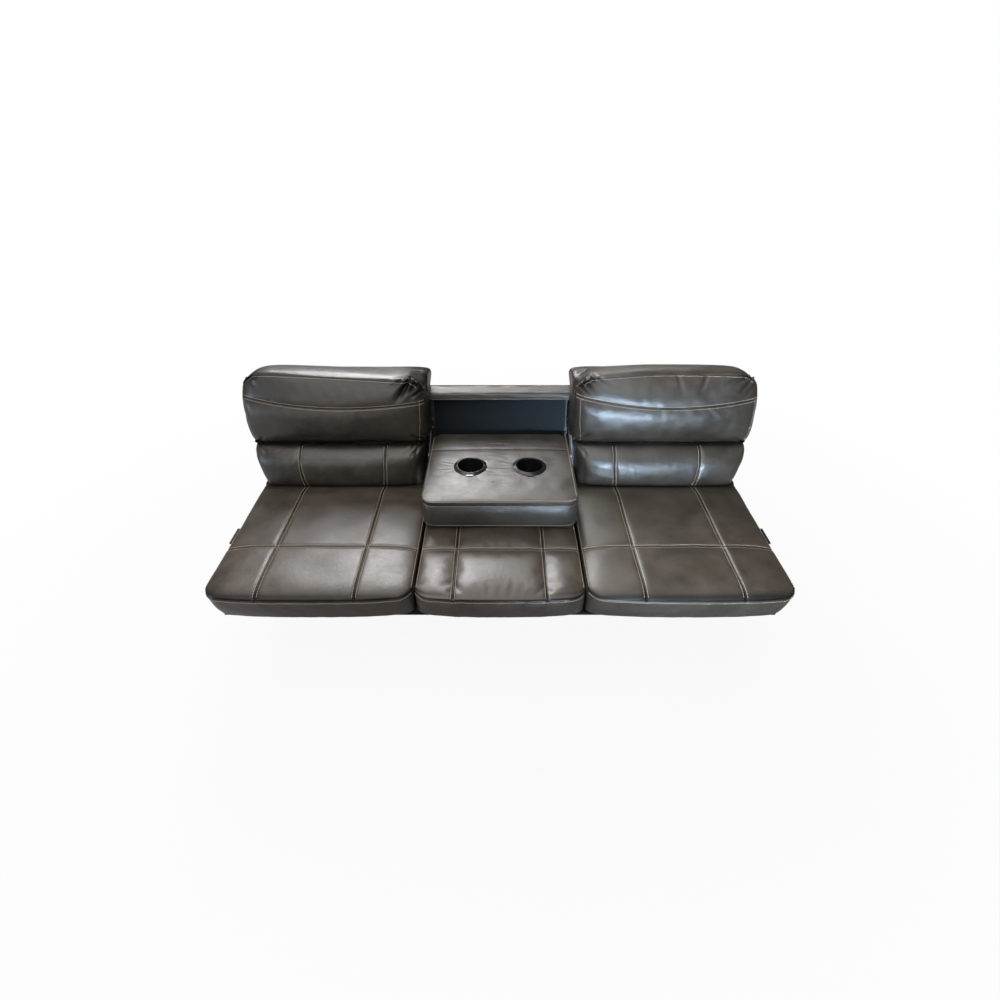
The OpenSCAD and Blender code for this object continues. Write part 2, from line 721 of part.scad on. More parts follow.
// Pillow: swells over the lumbar, a sagging seam across its face and a crown over the frame
pillow_low_share = [0, 0.06, 0.2, 0.45, 0.75];
pillow_high_share = [0.35, 0.7, 1];
crown_share = [0.05, 0.22, 0.45, 0.7, 0.9, 1];
crown_edge = 5;
swell_reach_share = 0.9;
heart_share = 0.7;
bend_w = 40;
edge_share = 0.45;
frame_share = 0.4;
pillow_back = panel_d + panel_t;
pillow_low = crease_h + lumbar_gap;
crown_low = back_h + crown_edge;
crown_rise = pillow_crown + (top_seam_h - crown_low) / 2;
function pillow_x(x, h) =
    let (a = 2 * (x - back_inner) / (back_half - back_inner) - 1)
    x + pillow_flare * a * abs(a) * sin(180 * (h - pillow_low) / (top_seam_h + pillow_crown - pillow_low));
function pillow_ring(x) =
    let (a = 2 * (x - back_inner) / (back_half - back_inner) - 1,
         cut = corner_cut(x - back_inner, back_round) + corner_cut(back_half - x, back_round),
         drop = corner_cut(x - back_inner, pillow_corner) + corner_cut(back_half - x, pillow_corner),
         seam_h = top_seam_h - drop,
         smile = smile_h - smile_drop * (1 - a * a),
         wide = dome(a),
         lows = [for (s = pillow_low_share) mix(pillow_low, smile - channel_w, s)],
         highs = [for (s = pillow_high_share) mix(smile + channel_w, seam_h, s)],
         face = concat(lows, [smile - channel_w, smile, smile + channel_w], highs))
    concat(
        [[x, cushion_d - soft_gap, pillow_low], [x, lumbar_round + cut, pillow_low]],
        [for (h = face)
            let (t = (h - pillow_low) / (top_seam_h - pillow_low),
                 swell = dome(2 * t * swell_reach_share - 1))
            [pillow_x(x, h), cut + lumbar_round * (1 - swell) - pillow_bulge * wide * swell
                + channel_d * notch((h - smile) / channel_w) * wide, h]],
        [for (s = crown_share)
            let (rise = mix(seam_h, crown_low, s) + (crown_rise - drop * edge_share) * dome(2 * s - 1),
                 h = s < frame_share ? rise : max(crown_low, rise))
            [pillow_x(x, h), mix(lumbar_round + cut, pillow_back - cut, s), h]],
        [[x, pillow_back - cut, back_h + soft_gap], [x, cushion_d - soft_gap, back_h + soft_gap]]);
module pillow() {
    mids = [outer_mid];
    xs = stations(back_inner, back_half, back_round, back_round,
        concat([lumbar_lines[0]], mids, [lumbar_lines[1]]), bend_w);
    rings = [for (x = xs) pillow_ring(x)];
    near = [pillow_x(back_inner, back_h), cushion_d * heart_share, back_h - soft_gap];
    far = [pillow_x(back_half, back_h), cushion_d * heart_share, back_h - soft_gap];
    color(leather) difference() {
        placed_back() loft(rings, near, far);
        back_core(0);
    }
}
module back_pillow_right() { pillow(); }
module back_pillow_left() { mirror([1, 0, 0]) pillow(); }

// Hangers: flat bars on edge from the inner posts to the console's pivots
hanger_boss = 15;
hanger_bolt_r = 4;
hanger_top_h = 205;
bolt_pitch = 34;
bolt_grip = 24;
bolt_d = board_d + post_d / 2;
function bolt_heights() = [hanger_top_h, hanger_top_h - bolt_pitch];
module hanger_bores(r) {
    placed_back() for (h = bolt_heights())
        pin(hanger_x - eps, bolt_d, h, plate_t + bolt_grip + eps, r);
}
module hanger() {
    color(steel) difference() {
        placed_back() plate(hanger_x, plate_t) {
            link(pivot_d, pivot_h, bolt_d, hanger_top_h - bolt_pitch / 2, hanger_boss);
            translate([bolt_d - post_d / 2, hanger_top_h - bolt_pitch - hanger_boss])
                square([post_d, bolt_pitch + 2 * hanger_boss]);
        }
        hanger_bores(hanger_bolt_r + fit);
        pin(hanger_x - eps, pivot_y, pivot_z, plate_t + 2 * eps, pin_r + fit);
    }
}
module console_hanger_right() { hanger(); }
module console_hanger_left() { mirror([1, 0, 0]) hanger(); }
module hanger_bolts() {
    color(steel) placed_back() for (side = [0, 1], h = bolt_heights()) mirror([side, 0, 0]) {
        pin(hanger_x, bolt_d, h, plate_t + bolt_grip, hanger_bolt_r);
        pin(hanger_x - head_t, bolt_d, h, head_t, hanger_bolt_r * head_share);
    }
}
box_half = console_half - band_t;
pin_grip = hanger_x + plate_t - (box_half - box_t);
module console_pins() {
    color(steel) for (side = [0, 1])
        mirror([side, 0, 0]) rivet(box_half - box_t, pivot_y, pivot_z, pin_grip, pin_r);
}

// Console box: side boards with the pivot bores, front and rear boards, all one glued frame
tail_low = 42;
floor_t = 6;
box_front = console_front + band_t;
box_rear = console_rear - band_t;
box_low = console_low + floor_t;
module box_side_outline() {
    polygon([
        [box_front, box_low], [box_rear - tail_low, box_low], [box_rear, box_low + tail_low],
        [box_rear, lid_low], [box_front, lid_low]]);
}
box_corner = console_corner - band_t;
module box_corners() {
    intersection() {
        round_slab(box_half, box_front, box_rear, console_low, lid_top, box_corner);
        children();
    }
}
module console_box() {
    color(wood) difference() {
        box_corners() union() {
            for (side = [0, 1]) mirror([side, 0, 0]) plate(box_half - box_t, box_t) box_side_outline();
            translate([-box_half + box_t, box_front, box_low])
                cube([2 * (box_half - box_t), box_t, lid_low - box_low]);
            translate([-box_half + box_t, box_rear - box_t, box_low + tail_low])
                cube([2 * (box_half - box_t), box_t, lid_low - box_low - tail_low]);
        }
        for (side = [0, 1]) mirror([side, 0, 0])
            pin(box_half - box_t - eps, pivot_y, pivot_z, box_t + 2 * eps, pin_r + fit);
    }
}
module cup_bores(r, low, high) {
    for (side = [-1, 1]) translate([side * cup_spacing / 2, cup_y, low])
        cylinder(h = high - low, r = r);
}
cup_r = cup_d / 2;
cup_out_r = cup_r + cup_wall;
cup_air = 1;
module console_lid() {
    color(wood) difference() {
        round_slab(box_half, box_front, box_rear, lid_low, lid_top, box_corner);
        cup_bores(cup_out_r + cup_air, lid_low - eps, lid_top + eps);
    }
}
module console_floor() {
    color(wood) box_corners() translate([-box_half, box_front, console_low])
        cube([2 * box_half, box_rear - tail_low - box_front, floor_t]);
}
module round_slab(x, y0, y1, z0, z1, r) {
    translate([-x + r, y0, z0]) cube([2 * (x - r), y1 - y0, z1 - z0]);
    translate([-x, y0 + r, z0]) cube([2 * x, y1 - y0 - 2 * r, z1 - z0]);
    for (cx = [-x + r, x - r], cy = [y0 + r, y1 - r])
        translate([cx, cy, z0]) cylinder(h = z1 - z0, r = r);
}
module tail_cut() {
    plate(-console_half - eps, console_w + 2 * eps) polygon([
        [console_rear - tail_low - band_t, console_low - eps], [console_rear + eps, console_low - eps],
        [console_rear + eps, console_low + tail_low + band_t]]);
}
module console_band() {
    pivot_hole = 2 * pin_r;
    color(leather) difference() {
        round_slab(console_half, console_front, console_rear, console_low, lid_top, console_corner);
        round_slab(box_half, box_front, box_rear, console_low - eps, lid_top + eps, box_corner);
        tail_cut();
        for (side = [0, 1]) mirror([side, 0, 0])
            pin(box_half - eps, pivot_y, pivot_z, band_t + 2 * eps, pivot_hole);
    }
}

// Padded upper cover with the two cup openings
top_crown = 3;
cover_round = 12;
cover_share = [0, 0.02, 0.06, 0.14, 0.3, 0.5, 0.7, 0.86, 0.94, 0.98, 1];
function cover_ring(x) =
    let (a = x / console_half,
         e = console_half - abs(x),
         cut = corner_cut(e, console_corner),
         y0 = console_front + cut,
         y1 = console_rear - cut)
    concat(
        [[x, y1, lid_top], [x, y0, lid_top]],
        [for (s = cover_share)
            [x, mix(y0, y1, s),
             console_top - cover_round / 2 + (cover_round / 2 + top_crown) * dome(a) * dome(2 * s - 1)]]);
module console_top_cover() {
    xs = stations(-console_half, console_half, console_corner, console_corner,
        [-cup_spacing / 2, cup_spacing / 2], cup_out_r);
    rings = [for (x = xs) cover_ring(x)];
    middle = [0, (console_front + console_rear) / 2, (lid_top + console_top) / 2 - top_crown];
    color(leather) difference() {
        loft(rings, middle - [console_half, 0, 0], middle + [console_half, 0, 0]);
        cup_bores(cup_out_r + cup_air, lid_top - eps, console_top + cover_round);
    }
}

// Soft face of the folded console: a pillow and a lumbar part with the crease between them
pad_share = [0, 0.03, 0.1, 0.3, 0.5, 0.62, 0.7, 0.73, 0.76, 0.85, 0.96, 1];
pad_crease_share = 0.73;
pad_crease_half_share = 0.03;
pad_air = 0.5;
pad_drop = console_lift - soft_gap - pad_air;
function pad_ring(x) =
    let (a = x / box_half,
         e = box_half - abs(x),
         cut = corner_cut(e, console_corner),
         y0 = box_front + cut,
         y1 = box_rear - tail_low - cut)
    concat(
        [[x, y0, console_low], [x, y1, console_low]],
        [for (k = [len(pad_share) - 1:-1:0])
            let (s = pad_share[k])
            [x, mix(y0, y1, s), console_low - soft_gap - pad_drop * dome(a) * dome(2 * s - 1)
                + channel_d * notch((s - pad_crease_share) / pad_crease_half_share) * dome(a)]]);
module console_pad() {
    xs = stations(-box_half, box_half, console_corner, console_corner, [0], box_half / 2);
    rings = [for (x = xs) pad_ring(x)];
    middle = [0, (box_front + box_rear - tail_low) / 2, console_low - soft_gap / 2];
    color(leather) loft(rings, middle - [box_half, 0, 0], middle + [box_half, 0, 0]);
}

// Cup holder: a drawn cup with a raised rim and a lug at the front
cup_top = console_top + top_crown + rim_h;
rim_seat = console_top + top_crown + fit;
rim_r = rim_d / 2;
rim_wall = 2;
crest_w = 1.4;
crest_round = 1;
lug_len = 9;
cup_low = cup_top - cup_depth - cup_wall;
function cup_profile() = [
    [0, cup_low], [cup_floor_d / 2 + cup_wall, cup_low], [cup_out_r, rim_seat],
    [rim_r, rim_seat], [rim_r, rim_seat + rim_wall],
    [cup_r + crest_w + crest_round, cup_top - crest_round / 2],
    [cup_r + crest_w, cup_top], [cup_r + crest_round, cup_top], [cup_r, cup_top - crest_round],
    [cup_floor_d / 2, cup_low + cup_wall], [0, cup_low + cup_wall]];
module cup_holder(side) {
    color(plastic) translate([side * cup_spacing / 2, cup_y, 0]) {
        rotate_extrude($fn = 64) polygon(cup_profile());
        translate([-lug_w / 2, -rim_r - lug_len / 2, rim_seat])
            cube([lug_w, lug_len, rim_wall + crest_round]);
    }
}
module cup_holder_right() { cup_holder(1); }
module cup_holder_left() { cup_holder(-1); }

base_bracket_left();
base_bracket_right();
base_tubes();
base_pins();
rear_crank_left();
rear_crank_right();
rear_crank_tube();
front_crank_left();
front_crank_right();
front_crank_tube();
seat_plate_left();
seat_plate_right();
seat_plate_pins();
seat_rail_left();
seat_rail_right();
seat_rail_front();
seat_rail_rear();
seat_bearers();
seat_deck();
seat_dust_cover();
seat_foam_left();
seat_foam_center();
seat_foam_right();
seat_cover_left();
seat_cover_center();
seat_cover_right();
back_arm_left();
back_arm_right();
back_hinge_pins();
back_post_outer_left();
back_post_outer_right();
back_post_inner_left();
back_post_inner_right();
back_head_rails();
back_bottom_rail();
back_boards();
back_foam_left();
back_foam_right();
back_lumbar_left();
back_lumbar_right();
back_pillow_left();
back_pillow_right();
back_panel_left();
back_panel_right();
back_panel_center();
top_rail();
top_rail_cover();
back_liner();
console_hanger_left();
console_hanger_right();
hanger_bolts();
console_pins();
console_box();
console_lid();
console_floor();
console_band();
console_top_cover();
console_pad();
cup_holder_left();
cup_holder_right();
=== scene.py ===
import bpy
import bmesh
import math
import numpy as np
from mathutils import Matrix, Vector
from mathutils.bvhtree import BVHTree


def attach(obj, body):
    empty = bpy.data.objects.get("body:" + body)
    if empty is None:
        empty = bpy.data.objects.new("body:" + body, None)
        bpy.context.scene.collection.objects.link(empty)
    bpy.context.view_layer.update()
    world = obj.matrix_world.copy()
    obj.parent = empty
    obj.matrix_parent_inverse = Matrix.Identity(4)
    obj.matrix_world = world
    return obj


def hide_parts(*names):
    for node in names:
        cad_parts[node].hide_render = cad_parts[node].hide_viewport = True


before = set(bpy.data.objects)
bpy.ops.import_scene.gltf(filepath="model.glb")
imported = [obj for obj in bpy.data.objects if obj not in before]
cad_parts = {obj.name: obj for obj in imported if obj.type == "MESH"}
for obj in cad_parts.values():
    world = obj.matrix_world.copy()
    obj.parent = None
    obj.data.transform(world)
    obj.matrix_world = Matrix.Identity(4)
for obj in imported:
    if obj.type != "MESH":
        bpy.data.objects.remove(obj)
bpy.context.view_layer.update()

scene = bpy.context.scene
scene.view_settings.view_transform = "Standard"

# Camera: it looks down on the middle of the sofa from in front, above the height of a standing
# person's eyes, with a wide lens that shows the seat tops and the open middle bay.
bpy.ops.object.camera_add(location=(0, -1.564, 1.621), rotation=(math.radians(52.7), 0, 0))
camera = bpy.context.object
camera.name = "camera"
camera.data.sensor_width = 36
camera.data.lens = 19.37
camera.data.clip_start = 0.05
scene.camera = camera

# Studio: a pale floor that keeps the shadow under the sofa, a large overhead softbox, a broad
# panel behind the sofa for the sheen on the seat tops, and a cool window in front on the right.
bpy.ops.mesh.primitive_plane_add(size=80, location=(0, 0, 0))
floor = bpy.context.object
floor.name = "studio_floor"
paper = bpy.data.materials.new("pale_floor")
paper.use_nodes = True
nodes, links = paper.node_tree.nodes, paper.node_tree.links
nodes.clear()
floor_out = nodes.new("ShaderNodeOutputMaterial")
floor_mix = nodes.new("ShaderNodeMixShader")
floor_paint = nodes.new("ShaderNodeBsdfDiffuse")
floor_paint.inputs["Color"].default_value = (0.36, 0.36, 0.365, 1)
floor_glow = nodes.new("ShaderNodeEmission")
floor_glow.inputs["Color"].default_value = (1, 1, 1, 1)
floor_glow.inputs["Strength"].default_value = 1.0
seen = nodes.new("ShaderNodeLightPath")
floor_place = nodes.new("ShaderNodeTexCoord")
floor_far = nodes.new("ShaderNodeVectorMath")
floor_far.operation = "LENGTH"
links.new(floor_place.outputs["Object"], floor_far.inputs[0])
floor_fade = nodes.new("ShaderNodeMapRange")
floor_fade.inputs["From Min"].default_value = 0.9
floor_fade.inputs["From Max"].default_value = 2.6
floor_fade.inputs["To Min"].default_value = 0.93
floor_fade.inputs["To Max"].default_value = 1.0
links.new(floor_far.outputs["Value"], floor_fade.inputs["Value"])
seen_share = nodes.new("ShaderNodeMath")
seen_share.operation = "MULTIPLY"
links.new(seen.outputs["Is Camera Ray"], seen_share.inputs[0])
links.new(floor_fade.outputs[0], seen_share.inputs[1])
links.new(seen_share.outputs[0], floor_mix.inputs[0])
links.new(floor_paint.outputs[0], floor_mix.inputs[1])
links.new(floor_glow.outputs[0], floor_mix.inputs[2])
links.new(floor_mix.outputs[0], floor_out.inputs[0])
floor.data.materials.append(paper)

sky = bpy.data.worlds.new("studio")
scene.world = sky
sky.use_nodes = True
nodes, links = sky.node_tree.nodes, sky.node_tree.links
nodes.clear()
sky_out = nodes.new("ShaderNodeOutputWorld")
sky_mix = nodes.new("ShaderNodeMixShader")
sky_soft = nodes.new("ShaderNodeBackground")
sky_soft.inputs["Color"].default_value = (1.0, 0.985, 0.96, 1)
sky_soft.inputs["Strength"].default_value = 0.13
sky_white = nodes.new("ShaderNodeBackground")
sky_white.inputs["Color"].default_value = (1, 1, 1, 1)
sky_white.inputs["Strength"].default_value = 1.0
seen = nodes.new("ShaderNodeLightPath")
links.new(seen.outputs["Is Camera Ray"], sky_mix.inputs[0])
links.new(sky_soft.outputs[0], sky_mix.inputs[1])
links.new(sky_white.outputs[0], sky_mix.inputs[2])
links.new(sky_mix.outputs[0], sky_out.inputs[0])


def softbox(name, place, aim, size, power, tint, spread=180):
    """An area lamp, aimed at a point; a small spread in degrees keeps its light together."""
    bpy.ops.object.light_add(type="AREA", location=place)
    lamp = bpy.context.object
    lamp.name = name
    lamp.rotation_euler = (Vector(aim) - Vector(place)).to_track_quat("-Z", "Y").to_euler()
    lamp.data.shape = "RECTANGLE"
    lamp.data.size, lamp.data.size_y = size
    lamp.data.energy = power
    lamp.data.color = tint
    lamp.data.spread = math.radians(spread)


softbox("overhead", (-0.4, -0.6, 3.4), (0, 0, 0.4), (3.4, 2.4), 66, (1, 0.985, 0.96))
softbox("rear_panel", (-1.1, 3.4, 3.9), (-0.35, -0.3, 0.45), (1.9, 2.4), 300, (0.99, 0.99, 1))
softbox("front_window", (0.45, -3.3, 0.85), (0.66, 0.1, 0.65), (0.5, 0.45), 6.5, (0.60, 0.79, 1), 26)
softbox("front_left", (-1.9, -2.9, 2.2), (-0.6, 0.1, 0.7), (1.2, 0.6), 14, (1, 0.98, 0.95))
softbox("front_top", (-0.6, -2.4, 3.5), (0, 0.1, 0.7), (4.4, 1.0), 46, (1, 0.99, 0.98))
softbox("rear_low", (0.3, 3.4, 2.1), (0.3, 0.1, 0.8), (3.0, 0.5), 22, (1, 0.98, 0.95))
softbox("side_window", (-3.2, -1.3, 0.9), (-0.8, 0, 0.6), (0.6, 0.8), 22, (0.62, 0.80, 1))

# Seat cushions: three foam blocks in bonded leather. The top panel is sewn to the border along
# a seam at the front, and double rows of tan thread quilt it twice lengthwise and once across.
SEAT_H = 0.430
SEAT_LOW = 0.336
SEAT_FRONT = -0.488
SEAT_REAR = 0.0987
CROSS = -0.273
tan = (0.38, 0.32, 0.25)


def points_of(ob):
    co = np.empty(len(ob.data.vertices) * 3)
    ob.data.vertices.foreach_get("co", co)
    return co.reshape(-1, 3)


def set_points(ob, co):
    ob.data.vertices.foreach_set("co", np.ascontiguousarray(co, dtype=float).ravel())
    ob.data.update()


def ticks(a, b, fixed, step):
    """Places of the cuts from a to b: the fixed ones, and even ones between them."""
    marks = sorted({round(float(v), 5) for v in [a, b, *fixed] if a <= v <= b})
    out = []
    for p, q in zip(marks, marks[1:]):
        n = max(1, math.ceil((q - p) / step - 0.2))
        out += [p + (q - p) * k / n for k in range(n)]
    return np.array(out + [marks[-1]])


def block(name, xs, ys, zs):
    """A closed box cut into strips at the given places along its three directions."""
    bpy.ops.object.select_all(action="DESELECT")
    bpy.ops.mesh.primitive_cube_add(size=1, location=(0.5, 0.5, 0.5))
    ob = bpy.context.object
    ob.name = ob.data.name = name
    bpy.ops.object.transform_apply(location=True, rotation=True, scale=True)
    bpy.context.tool_settings.mesh_select_mode = (False, True, False)
    for axis, places in enumerate((xs, ys, zs)):
        bpy.ops.object.mode_set(mode="EDIT")
        bpy.ops.mesh.select_all(action="DESELECT")
        mesh = bmesh.from_edit_mesh(ob.data)
        for edge in mesh.edges:
            run = edge.verts[1].co - edge.verts[0].co
            if abs(run[axis]) > 1e-6:
                edge.select_set(True)
        bmesh.update_edit_mesh(ob.data)
        if len(places) > 2:
            bpy.ops.mesh.subdivide(number_cuts=len(places) - 2)
        bpy.ops.object.mode_set(mode="OBJECT")
    co = points_of(ob)
    for axis, places in enumerate((xs, ys, zs)):
        step = np.rint(co[:, axis] * (len(places) - 1)).astype(int)
        co[:, axis] = np.asarray(places)[step]
    set_points(ob, co)
    return ob


def dome(t):
    """1 over most of the span from -1 to 1, falling off to 0 at its ends."""
    return np.sqrt(np.maximum(0, 1 - np.abs(t) ** 4))


def corner(e, r):
    """How far a corner of radius r draws in a point that lies e from its side."""
    e = np.clip(e, 0, r)
    return r - np.sqrt(np.maximum(0, r * r - (r - e) ** 2))


def hat(t):
    """A straight-sided groove: 1 at 0, and 0 from 1 on."""
    return np.maximum(0, 1 - np.abs(t))


def bell(t):
    """A soft line: 1 at 0, and near 0 from 2 on."""
    return np.exp(-t * t)


def arc(r, n=6):
    """Cuts that divide a rounded corner of radius r evenly."""
    return [r * (1 - math.cos(k * math.pi / 2 / n)) for k in range(n + 1)]


def seam_cuts(places):
    """Close cuts on both sides of each sewn line."""
    return [p + k for p in places for k in (-0.012, -0.0065, -0.0028, 0, 0.0028, 0.0065, 0.012)]


def puff(ob, sewn, cap, slack):
    """Cloth with air pressure inside; the sewn points stay, and no point moves past the cap."""
    rest = points_of(ob)
    group = ob.vertex_groups.new(name="sewn")
    group.add([int(i) for i in np.nonzero(sewn)[0]], 1.0, "REPLACE")
    bpy.context.view_layer.objects.active = ob
    cloth = ob.modifiers.new("Cloth", "CLOTH")
    cloth.settings.use_pressure = True
    cloth.settings.uniform_pressure_force = 4.0
    cloth.settings.effector_weights.gravity = 0
    cloth.settings.vertex_group_mass = "sewn"
    cloth.settings.shrink_min = slack
    cloth.settings.quality = 4
    cloth.point_cache.frame_start = 1
    cloth.point_cache.frame_end = 20
    for step in range(1, 21):
        scene.frame_set(step)
    bpy.ops.object.modifier_apply(modifier="Cloth")
    scene.frame_set(1)
    move = points_of(ob) - rest
    size = np.linalg.norm(move, axis=1, keepdims=True)
    move *= cap * np.tanh(size / cap) / np.maximum(size, 1e-9)
    set_points(ob, rest + move)
    ob.vertex_groups.clear()


def smooth(ob):
    bpy.context.view_layer.objects.active = ob
    sub = ob.modifiers.new("Subdivision", "SUBSURF")
    sub.levels = sub.render_levels = 1
    bpy.ops.object.modifier_apply(modifier="Subdivision")
    ob.data.shade_smooth()


def normals_of(ob):
    """The direction outward at every point."""
    n = np.empty(len(ob.data.vertices) * 3)
    ob.data.vertex_normals.foreach_get("vector", n)
    return n.reshape(-1, 3)


def waves(co, seed, length):
    """Slow uneven swell, mostly between -1 and 1, from a few crossed waves."""
    rng = np.random.default_rng(seed)
    count = 7
    out = np.zeros(len(co))
    for _ in range(count):
        run = rng.normal(size=3)
        run *= rng.uniform(0.6, 1.5) / np.linalg.norm(run)
        out += np.sin(co @ run * 2 * math.pi / length + rng.uniform(0, 6.28))
    return out / math.sqrt(count) / 1.5


def away(u, v, p, q):
    """Distance of every point from the line p-q, and the share of the way along it."""
    run = np.array(q) - np.array(p)
    along = ((u - p[0]) * run[0] + (v - p[1]) * run[1]) / (run @ run)
    held = np.clip(along, 0, 1)
    return np.hypot(u - p[0] - held * run[0], v - p[1] - held * run[1]), along


def folds(u, v, lines):
    """Pulled folds: each a valley from p, deepest there and fading to q, with a ridge beside it."""
    out = np.zeros(len(u))
    for p, q, wide, deep in lines:
        off, along = away(u, v, p, q)
        fade = np.clip(1 - along, 0, 1) ** 0.8 * np.clip(1 + along * 8, 0, 1)
        t = off / (wide * (0.6 + 0.8 * np.clip(along, 0, 1)))
        out -= deep * fade * (1 - 1.1 * t * t) * np.exp(-t * t)
    return out


def mark(ob, values):
    """How dark and less shiny the leather is at every point: 1 in a seam, 0 on the open panels; the same values also
    carry painted shade in creases, folds and crevices.
    """
    layer = ob.data.attributes.new("seam", "FLOAT", "POINT")
    layer.data.foreach_set("value", np.ascontiguousarray(np.clip(values, 0, 1), dtype=np.float32))


def mirror(ob):
    co = points_of(ob)
    co[:, 0] *= -1
    set_points(ob, co)
    ob.data.flip_normals()


def dress(ob, mat, body, fill, *stands_for):
    """Leather on a finished cushion, which moves with its body and replaces its solids."""
    ob.data.materials.clear()
    ob.data.materials.append(mat)
    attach(ob, body)
    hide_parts(*stands_for)


def leather(name, deep, light, gloss, wrinkle=1.0, seed=0.0):
    """Bonded leather: fine pebbled grain, cloudy brown colour, worn sheen, dark in the seams, and darkened as
    painted shade where the seam attribute marks creases.
    """
    mat = bpy.data.materials.new(name)
    mat.use_nodes = True
    nodes, links = mat.node_tree.nodes, mat.node_tree.links
    shader = nodes["Principled BSDF"]
    where = nodes.new("ShaderNodeTexCoord")
    place = nodes.new("ShaderNodeMapping")
    place.inputs["Location"].default_value = (seed, seed * 0.7, -seed)
    links.new(where.outputs["Object"], place.inputs["Vector"])

    def noise(scale, detail, rough=0.5):
        n = nodes.new("ShaderNodeTexNoise")
        n.inputs["Scale"].default_value = scale
        n.inputs["Detail"].default_value = detail
        n.inputs["Roughness"].default_value = rough
        links.new(place.outputs["Vector"], n.inputs["Vector"])
        return n

    cloud = noise(11, 5, 0.62)
    fleck = noise(150, 3, 0.6)
    tones = nodes.new("ShaderNodeValToRGB")
    tones.color_ramp.elements[0].position = 0.34
    tones.color_ramp.elements[0].color = (*deep, 1)
    tones.color_ramp.elements[1].position = 0.68
    tones.color_ramp.elements[1].color = (*light, 1)
    links.new(cloud.outputs["Fac"], tones.inputs["Fac"])
    dust = nodes.new("ShaderNodeMix")
    dust.data_type = "RGBA"
    dust.blend_type = "OVERLAY"
    dust.inputs[0].default_value = 0.28
    links.new(tones.outputs["Color"], dust.inputs[6])
    links.new(fleck.outputs["Fac"], dust.inputs[7])
    # The seam attribute mixes the colour towards near black and lowers the shine: dark seams, and painted shade in
    # creases, folds and crevices.
    seam = nodes.new("ShaderNodeAttribute")
    seam.attribute_name = "seam"
    dark = nodes.new("ShaderNodeMix")
    dark.data_type = "RGBA"
    links.new(seam.outputs["Fac"], dark.inputs[0])
    links.new(dust.outputs[2], dark.inputs[6])
    dark.inputs[7].default_value = (0.006, 0.005, 0.0045, 1)
    links.new(dark.outputs[2], shader.inputs["Base Color"])
    mottle = noise(64, 6, 0.7)
    patches = nodes.new("ShaderNodeMix")
    patches.inputs[0].default_value = 0.5
    links.new(cloud.outputs["Fac"], patches.inputs[2])
    links.new(mottle.outputs["Fac"], patches.inputs[3])
    worn = nodes.new("ShaderNodeMapRange")
    worn.inputs["From Min"].default_value = 0.36
    worn.inputs["From Max"].default_value = 0.64
    worn.inputs["To Min"].default_value = gloss - 0.07
    worn.inputs["To Max"].default_value = gloss + 0.09
    links.new(patches.outputs[0], worn.inputs["Value"])
    links.new(worn.outputs[0], shader.inputs["Roughness"])
    grain = nodes.new("ShaderNodeTexVoronoi")
    grain.inputs["Scale"].default_value = 620
    links.new(place.outputs["Vector"], grain.inputs["Vector"])
    crumple = noise(46, 6, 0.70)
    small = nodes.new("ShaderNodeBump")
    small.inputs["Strength"].default_value = 0.15
    small.inputs["Distance"].default_value = 0.0006
    links.new(grain.outputs["Distance"], small.inputs["Height"])
    broad = nodes.new("ShaderNodeBump")
    broad.inputs["Strength"].default_value = 0.35 * wrinkle
    broad.inputs["Distance"].default_value = 0.003
    links.new(crumple.outputs["Fac"], broad.inputs["Height"])
    links.new(small.outputs["Normal"], broad.inputs["Normal"])
    links.new(broad.outputs["Normal"], shader.inputs["Normal"])
    sheen = nodes.new("ShaderNodeMapRange")
    sheen.inputs["To Min"].default_value = 0.55
    sheen.inputs["To Max"].default_value = 0.06
    links.new(seam.outputs["Fac"], sheen.inputs["Value"])
    links.new(sheen.outputs[0], shader.inputs["Specular IOR Level"])
    shader.inputs["Coat Weight"].default_value = 0.12
    shader.inputs["Coat Roughness"].default_value = 0.3
    return mat


leather_seat = leather("leather_seat", (0.034, 0.0255, 0.019), (0.062, 0.0485, 0.038), 0.43, 0.7)
# Painted shade: the right seat gets a darker, browner copy of the seat leather, where less sheen and light fall on
# it.
leather_seat_shaded = leather("leather_seat_shaded", (0.031, 0.0235, 0.0165), (0.058, 0.045, 0.032), 0.46, 0.7, 3.1)

thread = bpy.data.materials.new("thread")
thread.use_nodes = True
nodes, links = thread.node_tree.nodes, thread.node_tree.links
ply = nodes.new("ShaderNodeTexWave")
ply.inputs["Scale"].default_value = 420
ply.inputs["Distortion"].default_value = 2
ply_place = nodes.new("ShaderNodeTexCoord")
links.new(ply_place.outputs["Object"], ply.inputs["Vector"])
ply_tone = nodes.new("ShaderNodeValToRGB")
ply_tone.color_ramp.elements[0].color = (tan[0] * 0.7, tan[1] * 0.7, tan[2] * 0.7, 1)
ply_tone.color_ramp.elements[1].color = (tan[0] * 1.15, tan[1] * 1.15, tan[2] * 1.15, 1)
links.new(ply.outputs["Fac"], ply_tone.inputs["Fac"])
links.new(ply_tone.outputs["Color"], nodes["Principled BSDF"].inputs["Base Color"])
nodes["Principled BSDF"].inputs["Roughness"].default_value = 0.6

# One stitch, a flattened bead of thread, is modelled once and repeated along every row.
bpy.ops.object.select_all(action="DESELECT")
bpy.ops.mesh.primitive_uv_sphere_add(segments=6, ring_count=4, radius=1)
stitch = bpy.context.object
bead = points_of(stitch)[:, [2, 0, 1]] * (0.0034, 0.0011, 0.0010)
bead_faces = [tuple(p.vertices) for p in stitch.data.polygons]
bpy.data.objects.remove(stitch)


PITCH = 0.0078  # from one stitch to the next
TWIN_ROWS = (-0.0058, 0.0058)  # the two rows beside a quilting line


